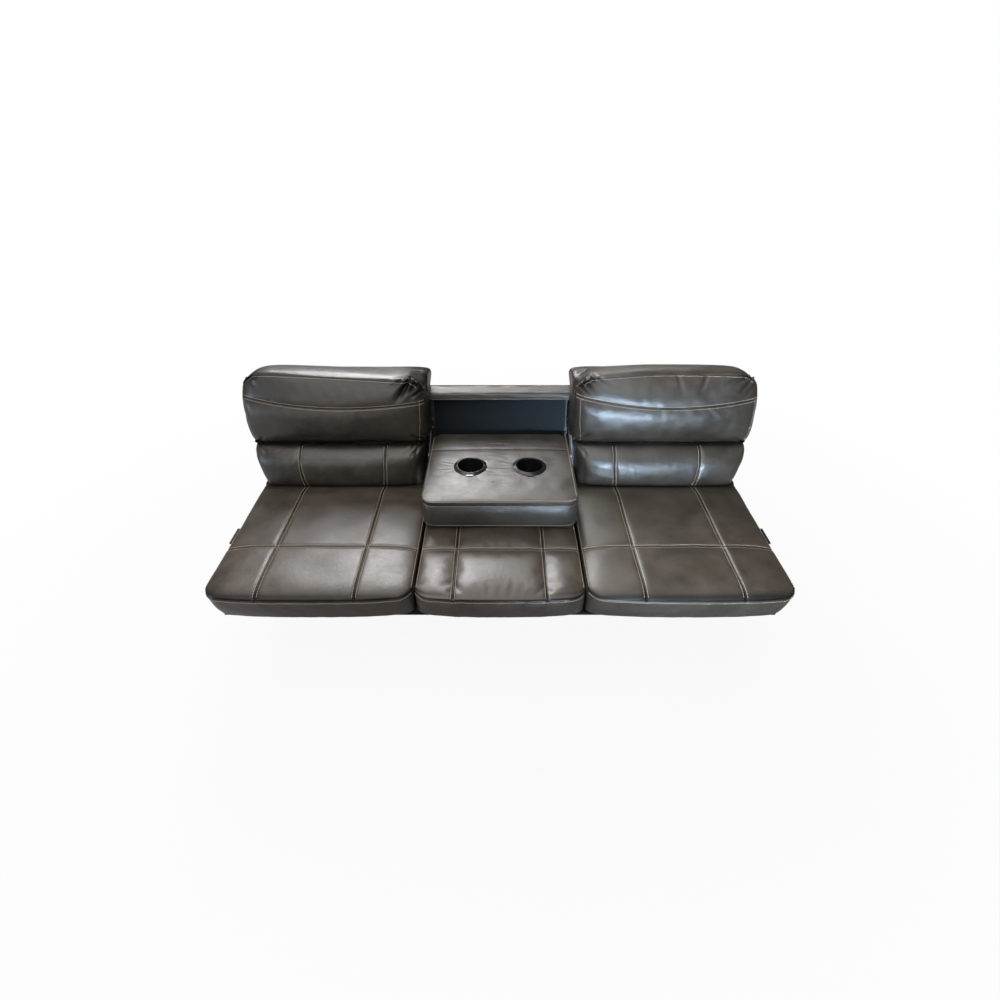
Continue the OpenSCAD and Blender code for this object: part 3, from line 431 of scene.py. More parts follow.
def sew(name, cushion, rows, body):
    """Stitches along rows of points, each dropped onto the cushion along its direction."""
    tree = BVHTree.FromObject(cushion, bpy.context.evaluated_depsgraph_get())
    verts, faces = [], []
    for row, aim in rows:
        aim = Vector(aim).normalized()
        hits = [h for h in (tree.ray_cast(Vector(p) - aim * 0.2, aim) for p in row) if h[0]]
        if len(hits) < 2:
            continue
        spots = np.array([h[0] for h in hits])
        ups = np.array([h[1] for h in hits])
        far = np.concatenate(([0], np.cumsum(np.linalg.norm(np.diff(spots, axis=0), axis=1))))
        for d in np.arange(PITCH / 2, far[-1], PITCH):
            at, ahead, behind = (np.array([np.interp(t, far, spots[:, k]) for k in range(3)])
                                 for t in (d, d + 0.002, d - 0.002))
            up = np.array([np.interp(d, far, ups[:, k]) for k in range(3)])
            run = ahead - behind
            run /= max(np.linalg.norm(run), 1e-9)
            up -= run * (up @ run)
            up /= max(np.linalg.norm(up), 1e-9)
            side = np.cross(up, run)
            start = len(verts)
            verts.extend(at + up * 0.0003 + bead @ np.array([run, side, up]))
            faces.extend(tuple(start + i for i in f) for f in bead_faces)
    mesh = bpy.data.meshes.new(name)
    mesh.from_pydata(verts, [], faces)
    mesh.shade_smooth()
    ob = bpy.data.objects.new(name, mesh)
    scene.collection.objects.link(ob)
    mesh.materials.append(thread)
    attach(ob, body)


def seat_cushion(name, xa, xb, ra, rb, crown, lines, mat, seed, side):
    """xa and ra belong to the inner side; side is -1 for the left place, 0 for the middle one."""
    xs = ticks(xa, xb, [*(xa + e for e in arc(ra)), *(xb - e for e in arc(rb)), *seam_cuts(lines)], 0.012)
    roll_cuts = [SEAT_FRONT + k for k in (0.004, 0.009, 0.015, 0.022, 0.030)]
    ys = ticks(SEAT_FRONT, SEAT_REAR, [*roll_cuts, *seam_cuts([CROSS]), SEAT_REAR - 0.01], 0.012)
    zs = ticks(SEAT_LOW, SEAT_H, [SEAT_LOW + 0.008, 0.41, 0.416, 0.422, 0.4265], 0.014)
    ob = block(name, xs, ys, zs)
    x, y, z = points_of(ob).T
    a = 2 * (x - xa) / (xb - xa) - 1
    s = (y - SEAT_FRONT) / (SEAT_REAR - SEAT_FRONT)
    top = z > SEAT_H - 1e-6
    edge = top & ((np.abs(np.abs(a) - 1) < 1e-6) | (s < 1e-6) | (s > 1 - 1e-6))
    low = (SEAT_H - z) / (SEAT_H - SEAT_LOW)
    seam = np.max([hat((x - p) / 0.011) for p in lines] + [hat((y - CROSS) / 0.011)], axis=0)
    seam = np.where(top, seam, 0)
    rise = 1 - np.exp(-(y - SEAT_FRONT) / 0.018)
    swell = dome(a) * rise * (1 - np.clip((s - 0.84) / 0.16, 0, 1) ** 1.6)
    near_crease = np.where(a < 0, 1, 0 if side else 1)
    front = corner(x - xa, ra) + corner(xb - x, rb)
    front *= 1 - 0.7 * low * near_crease
    rear = corner(x - xa, 0.016) + corner(xb - x, 0.016)
    y2 = y + front * np.clip(1 - (y - SEAT_FRONT) / 0.09, 0, 1) ** 1.5
    y2 -= rear * np.clip(1 - (SEAT_REAR - y) / 0.04, 0, 1)
    y2 += 0.021 * low ** 2 * np.clip(1 - s * 2.5, 0, 1)
    y2 += (0.014 * np.abs(a) ** 4 - 0.005 * (1 - a * a)) * np.clip(1 - s * 4, 0, 1)
    x2 = x - (0.006 - 0.0045 * near_crease) * a * low
    x2 -= 0.003 * np.sign(a) * np.abs(a) ** 8 * (1 - (2 * s - 1) ** 2)
    if side:
        x2 = np.where(z < 0.415, np.minimum(x2, 0.8768), x2)
    z2 = z + np.where(top, crown * swell, 0)
    z2 -= 0.0042 * seam * np.minimum(1, 2.5 * swell)
    inward = np.where(edge, 0.0028, 0) - np.where((low > 0.02) & (low < 0.12), 0.0010, 0)
    y2 += inward * (s < 0.2)
    x2 -= inward * np.sign(a) * (np.abs(a) > 0.999)
    set_points(ob, np.array([x2, y2, z2]).T)
    sewn = (seam > 0.9) | edge | (top & (y < SEAT_FRONT + 0.016)) | (z < SEAT_LOW + 0.001)
    sewn |= (s > 0.999) | ((np.abs(a) > 0.999) & (low > 0.2))
    puff(ob, sewn, 0.011, -0.012)
    smooth(ob)
    if side < 0:
        mirror(ob)
    co, n = points_of(ob), normals_of(ob)
    u = np.abs(co[:, 0]) if side else co[:, 0]
    grow = 0.0011 * waves(co, seed, 0.16) * np.clip(n[:, 2], 0, 1)
    grow += 0.0008 * waves(co, seed + 1, 0.055) * np.clip(-n[:, 1], 0, 1)
    y, z, up = co[:, 1], co[:, 2], n[:, 2]
    near = np.max([bell((u - p) / 0.0026) for p in lines] + [bell((y - CROSS) / 0.0026)], axis=0) * (up > 0.3)
    rim = bell((z - SEAT_H + 0.0005) / 0.0022) * (np.abs(up) < 0.9) * (y < SEAT_FRONT + 0.5)
    # Painted shade: the rear of the top darkens where it runs in under the lumbar, and the rolled front edge darkens
    # where it faces away from the lamps.
    painted_crevice_shade = 0.6 * np.clip((y - 0.045) / 0.03, 0, 1)
    painted_roll_shade = 0.7 * np.clip((0.985 - up) / 0.12, 0, 1) * (z > SEAT_H) * (y < SEAT_FRONT + 0.07) * (n[:, 1] < 0)
    set_points(ob, co + n * (grow - 0.0012 * near)[:, None])
    mark(ob, 0.85 * near + 0.85 * rim + painted_crevice_shade + painted_roll_shade)
    dress(ob, mat, "seat", 0.85, name.replace("cushion", "cover"), name.replace("cushion", "foam"))
    return ob


def seat_rows(xa, xb, lines, side):
    sign = side if side else 1
    down = (0, 0, -1)
    length = np.arange(SEAT_FRONT + 0.006, SEAT_REAR - 0.01, 0.004)
    across = np.arange(xa + 0.004, xb - 0.003, 0.004)
    rows = [([(sign * (p + k), y, 0.44) for y in length], down) for p in lines for k in TWIN_ROWS]
    rows += [([(sign * x, CROSS + k, 0.44) for x in across], down) for k in TWIN_ROWS]
    front = np.arange(xa + 0.004, xb - 0.004, 0.004)
    rows.append(([(sign * x, SEAT_FRONT, SEAT_H - 0.007) for x in front], (0, 1, 0)))
    length = np.arange(SEAT_FRONT + 0.05, SEAT_REAR - 0.02, 0.004)
    for x in (xa + 0.0055, xb - 0.0055):
        rows.append(([(sign * x, y, 0.44) for y in length], down))
    return rows


OUTER = (0.262, 0.889)
MIDDLE = (-0.258, 0.258)
OUTER_LINES = (0.4295, 0.7215)
MIDDLE_LINES = (-0.140, 0.140)
seat_left = seat_cushion("seat_cushion_left", *OUTER, 0.045, 0.05, 0.022, OUTER_LINES, leather_seat, 11, -1)
seat_right = seat_cushion("seat_cushion_right", *OUTER, 0.045, 0.05, 0.022, OUTER_LINES, leather_seat_shaded, 23, 1)
seat_center = seat_cushion("seat_cushion_center", *MIDDLE, 0.045, 0.045, 0.010, MIDDLE_LINES, leather_seat, 37, 0)
sew("stitching_seat_left", seat_left, seat_rows(*OUTER, OUTER_LINES, -1), "seat")
sew("stitching_seat_right", seat_right, seat_rows(*OUTER, OUTER_LINES, 1), "seat")
sew("stitching_seat_center", seat_center, seat_rows(*MIDDLE, MIDDLE_LINES, 0), "seat")

# Lumbar cushions: the lower roll of each outer back, in the same leather, sewn down along the
# crease under the pillow, with two bowed double rows up its face.
LEAN = math.radians(12)
FACE_Y = 0.099
BACKING = 0.1415


def lean_back(x, d, h):
    """Places in the back, from its width, its depth behind the face and its height up the back."""
    return np.array([x, FACE_Y + d * math.cos(LEAN) + h * math.sin(LEAN),
                     SEAT_H - d * math.sin(LEAN) + h * math.cos(LEAN)]).T


def in_back(co):
    """Width, depth and height in the back of points that are given in the shared frame."""
    y, z = co[:, 1] - FACE_Y, co[:, 2] - SEAT_H
    return (co[:, 0], y * math.cos(LEAN) - z * math.sin(LEAN), y * math.sin(LEAN) + z * math.cos(LEAN))


BACK_IN, BACK_OUT = 0.284, 0.899
INTO_BACK = (0, math.cos(LEAN), -math.sin(LEAN))
LUMBAR_LINES = (0.4195, 0.7315)
# Painted shade: the back leather is a much darker copy of the seat leather, for the cushion faces that face forward
# away from the lamps.
leather_back = leather("leather_back", (0.019, 0.0145, 0.0102), (0.040, 0.031, 0.0225), 0.41, 0.9, 7.3)


def bow(h):
    return 0.010 * (1 - np.clip(h / 0.12, 0, 1)) ** 2


def lumbar_line(p, h):
    return p - (1 if p > 0.5 else -1) * bow(h)


def widths(x, h, inner, outer):
    """Moves the sides of a back cushion to their own places at every height."""
    a = (x - BACK_IN) / (BACK_OUT - BACK_IN)
    lean_in = np.interp(h, *inner) - BACK_IN
    lean_out = np.interp(h, *outer) - BACK_OUT
    return x + lean_in * (1 - a) ** 3 + lean_out * a ** 3


LUMBAR_IN = ((0, 0.05, 0.11, 0.16), (0.300, 0.296, 0.288, 0.279))
LUMBAR_OUT = ((0, 0.05, 0.11, 0.145, 0.16), (0.885, 0.898, 0.913, 0.916, 0.906))


def lumbar_cushion(name, side, seed, creases):
    xs = ticks(BACK_IN, BACK_OUT, [*(BACK_IN + e for e in arc(0.03)), *(BACK_OUT - e for e in arc(0.03)),
                                   *seam_cuts(LUMBAR_LINES)], 0.012)
    ds = ticks(0, BACKING, [0.003, 0.009, 0.02], 0.02)
    hs = ticks(0.003, 0.1583, [0.006, 0.011, 0.150, 0.1550], 0.010)
    ob = block(name, xs, ds, hs)
    x, d, h = points_of(ob).T
    a = 2 * (x - BACK_IN) / (BACK_OUT - BACK_IN) - 1
    t = 2 * (h - 0.003) / 0.1553 - 1
    face = d < 1e-6
    cut = 1.4 * (corner(x - BACK_IN, 0.03) + corner(BACK_OUT - x, 0.03))
    round_up = np.clip((t + 0.02) / 1.02, 0, 1)
    belly = (0.046 - 0.016 * np.clip((-0.3 - t) / 0.7, 0, 1) ** 2) * dome(a) * (1 - 0.6 * round_up ** 2)
    roll = np.where(face, 0.034 * (1 - np.sqrt(1 - round_up ** 2.2)) - belly, 0)
    seam = np.max([hat((x - p) / 0.011) for p in LUMBAR_LINES], axis=0) * face
    d2 = d + cut * np.clip(1 - d / 0.06, 0, 1) + roll + 0.004 * seam * dome(t)
    x2 = widths(x, h, LUMBAR_IN, LUMBAR_OUT)
    x2 += np.where(x < 0.5, 1, -1) * bow(h) * np.max([bell((x - p) / 0.07) for p in LUMBAR_LINES], axis=0)
    set_points(ob, lean_back(x2, d2, h))
    sewn = (seam > 0.9) | (d > 0.03) | (h < 0.0035) | (h > 0.158)
    puff(ob, sewn, 0.007, 0.0)
    smooth(ob)
    if side < 0:
        mirror(ob)
    co, n = points_of(ob), normals_of(ob)
    x, d, h = in_back(co)
    u = np.abs(x)
    near = np.max([bell((u - lumbar_line(p, h)) / 0.0022) for p in LUMBAR_LINES], axis=0) * (d < 0.04)
    grow = 0.0010 * waves(co, seed, 0.15) + 0.0003 * waves(co, seed + 2, 0.035)
    grow = (grow + folds(u, h, creases) * (d < 0.06)) * np.clip(h / 0.02, 0.2, 1)
    set_points(ob, co + n * (grow - 0.0012 * near)[:, None])
    # Painted shade: the top edge darkens in the crease under the pillow, where it is also sewn, and the bottom edge
    # darkens as a contact shadow on the seat.
    mark(ob, 0.75 * near + 0.8 * bell((h - 0.158) / 0.007) + 0.8 * bell((h - 0.004) / 0.012))
    dress(ob, leather_back, "back", 0.8, name.replace("lumbar_cushion", "back_lumbar"))
    return ob


def lumbar_rows(side):
    hs = np.arange(0.008, 0.154, 0.004)
    return [(lean_back(side * (lumbar_line(p, hs) + k), -0.03 + 0 * hs, hs), INTO_BACK)
            for p in LUMBAR_LINES for k in TWIN_ROWS]


lumbar_creases = {
    -1: [((0.288, 0.154), (0.330, 0.118), 0.008, 0.008), ((0.300, 0.158), (0.314, 0.100), 0.006, 0.006),
         ((0.318, 0.158), (0.350, 0.128), 0.006, 0.005), ((0.893, 0.156), (0.850, 0.128), 0.007, 0.005),
         ((0.868, 0.158), (0.858, 0.120), 0.006, 0.003)],
    1: [((0.288, 0.154), (0.322, 0.116), 0.008, 0.007), ((0.304, 0.158), (0.318, 0.108), 0.006, 0.005),
        ((0.893, 0.154), (0.852, 0.120), 0.008, 0.005), ((0.880, 0.158), (0.875, 0.110), 0.006, 0.003),
        ((0.880, 0.020), (0.845, 0.050), 0.007, 0.003)],
}
for side, word in ((-1, "left"), (1, "right")):
    roll = lumbar_cushion("lumbar_cushion_" + word, side, 50 + side, lumbar_creases[side])
    sew("stitching_lumbar_" + word, roll, lumbar_rows(side), "back")

# Pillows: the upper back swells over the lumbar, with a sagging double-stitched seam across its
# face, a seam along its top edge and a soft rounded crown laid over the wooden frame.
PILLOW_LOW, PILLOW_TOP = 0.1618, 0.411
PILLOW_DEEP = 0.192
MID_SEAM = 0.32
TOP_SEAM = 0.408
SHOULDER = 0.335
FRAME_TOP = 0.3905
TOP_ROUND = 0.055
PILLOW_IN = ((0.16, 0.18, 0.25, 0.34, 0.40, 0.43), (0.279, 0.274, 0.266, 0.265, 0.271, 0.274))
PILLOW_OUT = ((0.16, 0.175, 0.20, 0.25, 0.33, 0.375, 0.43), (0.912, 0.920, 0.923, 0.925, 0.925, 0.920, 0.912))


def smile(x, side):
    """Height of the sagging seam; on the left pillow it hangs lower at its inner end."""
    a = 2 * (x - BACK_IN) / (BACK_OUT - BACK_IN) - 1
    sag = SHOULDER - 0.032 * (1 - a * a)
    return sag - (0.020 * ((1 - a) / 2) ** 3 if side < 0 else 0.008 * ((1 + a) / 2) ** 3)


def crest(x, side):
    """Slow rise and fall of the top edge: falling to the middle of the sofa on the left pillow."""
    u = (x - BACK_IN) / (BACK_OUT - BACK_IN)
    if side < 0:
        return 0.004 - 0.020 * np.clip((0.84 - u) / 0.6, 0, 1.2)
    return 0.004 - 0.030 * (u - 0.55) ** 2 - 0.010 * np.clip(1 - u / 0.4, 0, 1)


def top_drop(x, h):
    """How far the rounded top corners pull down what lies above the smile seam."""
    drop = corner(x - BACK_IN, TOP_ROUND) + corner(BACK_OUT - x, TOP_ROUND)
    return drop * np.clip((h - SHOULDER) / (PILLOW_TOP - SHOULDER), 0, 1)


def edge_in(h):
    return np.interp(h, *PILLOW_IN) + 0.016


def edge_out(h):
    return np.interp(h, *PILLOW_OUT) - 0.016


def pillow_cushion(name, side, seed, creases):
    ends = arc(0.045, 7)
    xs = ticks(BACK_IN, BACK_OUT, [*(BACK_IN + e for e in ends), *(BACK_OUT - e for e in ends)], 0.010)
    ds = ticks(0, PILLOW_DEEP, [0.003, 0.009, 0.018, 0.180, 0.188], 0.012)
    top_cuts = [TOP_SEAM + k for k in (-0.009, -0.004, 0, 0.004)]
    hs = ticks(PILLOW_LOW, PILLOW_TOP, [0.1635, 0.168, *seam_cuts([MID_SEAM]), *top_cuts,
                                        FRAME_TOP - 0.0005, FRAME_TOP + 0.0005], 0.010)
    ob = block(name, xs, ds, hs)
    x, d, h = points_of(ob).T
    a = 2 * (x - BACK_IN) / (BACK_OUT - BACK_IN) - 1
    face, top, back = d < 1e-6, h > PILLOW_TOP - 1e-6, d > PILLOW_DEEP - 1e-4
    wide = dome(a)
    depth = d / PILLOW_DEEP
    layer = np.clip((h - FRAME_TOP) / (PILLOW_TOP - FRAME_TOP), 0, 1)
    # The face: the sag of the seam, the swell with its crest at 0.55 of the height, the corners.
    low_part = np.clip((h - PILLOW_LOW) / (MID_SEAM - PILLOW_LOW), 0, 1)
    high_part = np.clip((h - MID_SEAM) / (TOP_SEAM - MID_SEAM), 0, 1)
    h2 = h + (smile(x, side) - MID_SEAM) * np.minimum(low_part, 1 - high_part)
    t = np.clip((h2 - PILLOW_LOW) / (TOP_SEAM + 0.012 - PILLOW_LOW), 0, 1)
    below = np.sqrt(1 - np.clip(1 - t / 0.55, 0, 1) ** 2.6)
    swell = np.where(t < 0.55, below, 1 - 0.80 * np.clip((t - 0.55) / 0.45, 0, 1))
    cut = corner(x - BACK_IN, 0.034) + corner(BACK_OUT - x, 0.034)
    lines = np.maximum(hat((h - MID_SEAM) / 0.011), 0.5 * hat((h - TOP_SEAM) / 0.006)) * face
    bulge = 0.037 * (0.4 * wide + 0.6 * (1 - a * a)) * swell
    d2 = d + cut * np.clip(1 - d / 0.07, 0, 1)
    d2 += np.where(face, 0.022 * (1 - swell) - bulge + 0.004 * lines * wide, 0)
    # The crown: it lies over the frame, follows the crest and rounds down at the frame's ends.
    over = h > FRAME_TOP
    d2 = np.where(back & ~over, BACKING, d2)
    d2 = np.where(~back & ~over, d2 * (1 - depth) + BACKING * depth * depth, d2)
    h2 += np.where(top, 0.006 * wide * np.sin(math.pi * np.clip(depth, 0, 1) ** 0.8), 0)
    sunk = 0.014 * np.clip(depth * 2 - 1, 0, 1) ** 2 * (h - FRAME_TOP) / (PILLOW_TOP - FRAME_TOP)
    h2 -= np.where(over, sunk, 0)
    h2 += crest(x, side) * np.clip((h - SHOULDER) / (TOP_SEAM - SHOULDER), 0, 1) * (1 - 0.6 * depth ** 3)
    drop = top_drop(x, h2)
    held = np.where(over, np.clip((d - 0.05) / 0.08, 0, 1), 0)
    h2 = (h2 - drop) * (1 - held) + held * np.maximum(h2 - drop, FRAME_TOP + 0.0003 + 0.0105 * layer)
    x2 = widths(x, h2, PILLOW_IN, PILLOW_OUT)
    rear = np.clip(depth * 1.6 - 0.6, 0, 1)
    x2 = x2 * (1 - rear) + rear * (x + np.interp(a, (-1, -0.9, 0.9, 1), (-0.022, 0, 0, 0.007)))
    lip = corner(x2 - 0.262, 0.018) + corner(0.906 - x2, 0.018)
    lip *= np.where(np.abs(a) > 0.999, 1, layer)
    h2 -= np.where(d > 0.12, held * lip, 0)
    set_points(ob, lean_back(x2, d2, h2))
    sewn = ((lines > 0.9) & (h < 0.35)) | ((d > 0.10) & (h < FRAME_TOP + 0.002))
    sewn |= (h < PILLOW_LOW + 0.001) | back
    puff(ob, sewn, 0.008, -0.004)
    smooth(ob)
    if side < 0:
        mirror(ob)
    co, n = points_of(ob), normals_of(ob)
    x, d, h = in_back(co)
    u = np.abs(x)
    near = bell((h - smile(u, side)) / 0.0022) * (d < 0.03)
    upper = bell((h + top_drop(u, h + 0.03) - TOP_SEAM - crest(u, side)) / 0.0025) * (d < 0.03)
    ends = np.maximum(bell((u - edge_in(h)) / 0.0022), bell((u - edge_out(h)) / 0.0022)) * (d < 0.04) * (h < 0.34)
    upper = np.maximum(0.6 * upper, 0.5 * ends)
    grow = (0.0013 * waves(co, seed, 0.19) + 0.0005 * waves(co, seed + 3, 0.05)) * np.where(d > 0.03, 0.5, 1)
    pulled = np.clip(folds(u, h, creases) * np.clip((0.055 - d) / 0.03, 0, 1), -0.018, 0.0022)
    grow = (grow + pulled) * np.where(d > 0.125, 0.2, 1)
    set_points(ob, co + n * (grow - 0.0014 * near - 0.0012 * upper)[:, None])
    # Painted shade: the folds darken by their depth, the left pillow's crown and the inner top corners of both
    # pillows darken and lose shine on faces looking up, and the bottom edge darkens in the crease over the lumbar,
    # where it is also sewn.
    shade = np.clip(-pulled / 0.013, 0, 0.8)
    painted_crown_shade = (0.3 * (side < 0) + 0.7 * np.clip((0.37 - u) / 0.05, 0, 1)) * np.clip((n[:, 2] - 0.3) / 0.3, 0, 1)
    mark(ob, 0.62 * near + 0.7 * upper + 0.8 * bell((h - PILLOW_LOW) / 0.005) + shade + painted_crown_shade)
    dress(ob, leather_back, "back", 0.75, "back_" + name, name.replace("pillow", "back_foam"))
    return ob


def pillow_rows(side):
    xs = np.arange(0.272, 0.906, 0.004)
    rows = [(lean_back(side * xs, -0.05 + 0 * xs, smile(xs, side) + k), INTO_BACK) for k in TWIN_ROWS]
    inner = np.arange(0.296, 0.888, 0.004)
    seam_h = TOP_SEAM + crest(inner, side) - 0.004 - top_drop(inner, TOP_SEAM)
    rows.append((lean_back(side * inner, -0.05 + 0 * inner, seam_h), INTO_BACK))
    hs = np.arange(0.172, 0.330, 0.004)
    for line, k in ((edge_in(hs), 0.005), (edge_out(hs), -0.005)):
        rows.append((lean_back(side * (line + k), -0.05 + 0 * hs, hs), INTO_BACK))
    return rows


pillow_creases = {
    -1: [((0.312, 0.402), (0.368, 0.318), 0.013, 0.020), ((0.288, 0.395), (0.335, 0.345), 0.010, 0.010),
         ((0.318, 0.412), (0.392, 0.365), 0.010, 0.007), ((0.280, 0.385), (0.330, 0.340), 0.009, 0.008),
         ((0.280, 0.355), (0.325, 0.330), 0.007, 0.005), ((0.340, 0.408), (0.430, 0.388), 0.009, 0.004),
         ((0.895, 0.165), (0.850, 0.195), 0.008, 0.005), ((0.880, 0.163), (0.868, 0.200), 0.007, 0.004),
         ((0.890, 0.400), (0.850, 0.370), 0.012, 0.004), ((0.276, 0.167), (0.330, 0.200), 0.008, 0.008),
         ((0.300, 0.163), (0.322, 0.208), 0.007, 0.006), ((0.272, 0.185), (0.305, 0.215), 0.007, 0.005)],
    1: [((0.284, 0.400), (0.345, 0.345), 0.010, 0.009), ((0.300, 0.410), (0.350, 0.375), 0.009, 0.007),
        ((0.280, 0.375), (0.325, 0.336), 0.008, 0.006), ((0.330, 0.410), (0.400, 0.378), 0.009, 0.004),
        ((0.890, 0.402), (0.835, 0.350), 0.010, 0.009), ((0.875, 0.410), (0.820, 0.385), 0.009, 0.007),
        ((0.895, 0.378), (0.850, 0.336), 0.008, 0.006), ((0.850, 0.410), (0.780, 0.382), 0.008, 0.005),
        ((0.720, 0.408), (0.690, 0.335), 0.014, 0.003), ((0.620, 0.408), (0.640, 0.345), 0.012, 0.002),
        ((0.895, 0.165), (0.850, 0.190), 0.008, 0.005), ((0.276, 0.167), (0.330, 0.202), 0.008, 0.008),
        ((0.300, 0.163), (0.320, 0.210), 0.007, 0.006), ((0.272, 0.188), (0.308, 0.215), 0.007, 0.005)],
}
for side, word in ((-1, "left"), (1, "right")):
    pillow = pillow_cushion("pillow_" + word, side, 70 + 5 * side, pillow_creases[side])
    sew("stitching_pillow_" + word, pillow, pillow_rows(side), "back")

# Top rail: a wooden rail across the open bay, wrapped in thin foam and leather, stapled behind
# the lining, with a light welt along its lower front edge.
# Painted shade: the rail leather is a darker copy of the seat leather, darkened for its shaded front face.
leather_rail = leather("leather_rail", (0.026, 0.021, 0.017), (0.049, 0.041, 0.034), 0.57, 1.3, 5.2)
RAIL_FACE, RAIL_BACK = 0.125, 0.186
RAIL_LOW, RAIL_TOP = 0.2922, 0.332
rail = block("rail_wrap", ticks(-0.2698, 0.2698, [], 0.014),
             ticks(RAIL_FACE, RAIL_BACK, [0.129, 0.135, 0.178], 0.012),
             ticks(RAIL_LOW, RAIL_TOP, [0.2945, 0.298, 0.316, 0.324, 0.329], 0.008))
x, d, h = points_of(rail).T
inward, upward = (d - RAIL_FACE) / (RAIL_BACK - RAIL_FACE), (h - RAIL_LOW) / (RAIL_TOP - RAIL_LOW)
face, top = inward < 0.001, upward > 0.999
h2 = np.where(h > 0.31, h - 0.0145 * (1 - inward) * (h - 0.31) / (RAIL_TOP - 0.31), h)
h2 -= corner(d - RAIL_FACE, 0.012) * top * 0.8
d2 = d + face * (corner(RAIL_TOP - h, 0.012) * 0.8 - 0.0018 * np.sin(upward * math.pi))
set_points(rail, lean_back(x, d2, h2))
smooth(rail)
co, n = points_of(rail), normals_of(rail)
x, d, h = in_back(co)
drawn = np.array([x * 0.16, d + h + 0.003 * np.sin(x * 9), 0 * x]).T
grow = 0.0015 * waves(drawn, 95, 0.019) + 0.0005 * waves(co * (0.5, 1, 1), 91, 0.05)
welt = bell((h - 0.2985) / 0.0012) * (d < 0.13)
set_points(rail, co + n * (np.clip(grow, -0.002, 0.0014) - 0.0008 * welt)[:, None])
mark(rail, 0.8 * welt)
dress(rail, leather_rail, "back", 0.9, "top_rail_cover")
xs = np.arange(-0.266, 0.2661, 0.004)
sew("stitching_rail", rail, [(lean_back(xs, 0.1 + 0 * xs, 0.2956 + 0 * xs), INTO_BACK)], "back")

# Console: a wooden box in leather that drops out of the back. Its padded top is drawn in round
# the two cup holders, and its face below, the middle back cushion when folded, lies on the seat.
# Painted shade: the console leather is a darker copy of the seat leather, darkened for the shaded front of its
# border.
leather_console = leather("leather_console", (0.025, 0.0203, 0.0158), (0.050, 0.0415, 0.0335), 0.47, 0.9, 9.4)
CON_HALF, CON_ROUND = 0.258, 0.040
CON_FRONT, CON_REAR = -0.18372, 0.25228
CUP_X, CUP_Y = 0.104, 0.01428
LID_TOP, TOP_Z = 0.54589, 0.5605
REAR_CREASE = 0.131


def console_edge(x):
    return corner(CON_HALF - np.abs(x), CON_ROUND)


def rounded(x, y):
    """The console's plan, with its four corners rounded off."""
    front = np.clip(1 - (y - CON_FRONT) / 0.06, 0, 1) ** 1.3
    rear = np.clip(1 - (CON_REAR - y) / 0.06, 0, 1)
    return y + console_edge(x) * front - console_edge(x) * rear


cup_cuts = [CUP_X * s + k for s in (-1, 1) for k in (-0.062, -0.05, 0.05, 0.062)]
ends = arc(CON_ROUND)
con_xs = ticks(-CON_HALF, CON_HALF, [*(e - CON_HALF for e in ends), *(CON_HALF - e for e in ends), *cup_cuts], 0.010)
con_ys = ticks(CON_FRONT, CON_REAR,
               [CON_FRONT + 0.003, CON_FRONT + 0.009, *seam_cuts([REAR_CREASE]), CON_REAR - 0.006], 0.010)
cover = block("console_cover", con_xs, con_ys, ticks(LID_TOP, TOP_Z, [TOP_Z - 0.0015, TOP_Z - 0.005], 0.006))
x, y, z = points_of(cover).T
top = z > TOP_Z - 1e-6
swell = dome(x / CON_HALF) * dome(2 * (y - CON_FRONT) / (CON_REAR - CON_FRONT) - 1)
z2 = z + np.where(top, 0.007 * swell - 0.003 * (1 - swell) - 0.003 * hat((y - REAR_CREASE) / 0.01), 0)
set_points(cover, np.array([x, rounded(x, y), z2]).T)
# The holes under the cup rims: faces out of the top and the underside, then a wall between them.
bpy.context.view_layer.objects.active = cover
for cx in (-CUP_X, CUP_X):
    bpy.ops.object.mode_set(mode="EDIT")
    bpy.context.tool_settings.mesh_select_mode = (False, False, True)
    bpy.ops.mesh.select_all(action="DESELECT")
    mesh = bmesh.from_edit_mesh(cover.data)
    for f in mesh.faces:
        mid = f.calc_center_median()
        if abs(f.normal.z) > 0.5 and math.hypot(mid.x - cx, mid.y - CUP_Y) < 0.050:
            f.select_set(True)
    bmesh.update_edit_mesh(cover.data)
    bpy.ops.mesh.delete(type="FACE")
    bpy.context.tool_settings.mesh_select_mode = (False, True, False)
    mesh = bmesh.from_edit_mesh(cover.data)
    for e in mesh.edges:
        if e.is_boundary:
            e.select_set(True)
            for v in e.verts:
                off = Vector((v.co.x - cx, v.co.y - CUP_Y))
                off *= 0.0505 / off.length
                v.co.x, v.co.y = cx + off.x, CUP_Y + off.y
    bmesh.update_edit_mesh(cover.data)
    bpy.ops.mesh.bridge_edge_loops()
    bpy.ops.object.mode_set(mode="OBJECT")
smooth(cover)
co, n = points_of(cover), normals_of(cover)
x, y, z = co.T
cup_off = np.minimum(np.hypot(x - CUP_X, y - CUP_Y), np.hypot(x + CUP_X, y - CUP_Y))
flat = np.clip(n[:, 2], 0, 1) * (z > LID_TOP + 0.004)
lines = []
rng = np.random.default_rng(404)
cup_folds = ((-20, 0.06), (-5, 0.08), (8, 0.07), (22, 0.06), (160, 0.07), (174, 0.08), (188, 0.07), (202, 0.06),
             (70, 0.05), (110, 0.05), (250, 0.035), (290, 0.035))
for cx in (-CUP_X, CUP_X):
    for turn, far in cup_folds:
        turn = math.radians(turn + rng.uniform(-4, 4))
        start, stop = ((cx + r * math.cos(turn), CUP_Y + r * math.sin(turn)) for r in (0.056, 0.056 + far))
        lines.append((start, stop, 0.005, 0.0016 if far > 0.055 else 0.0009))
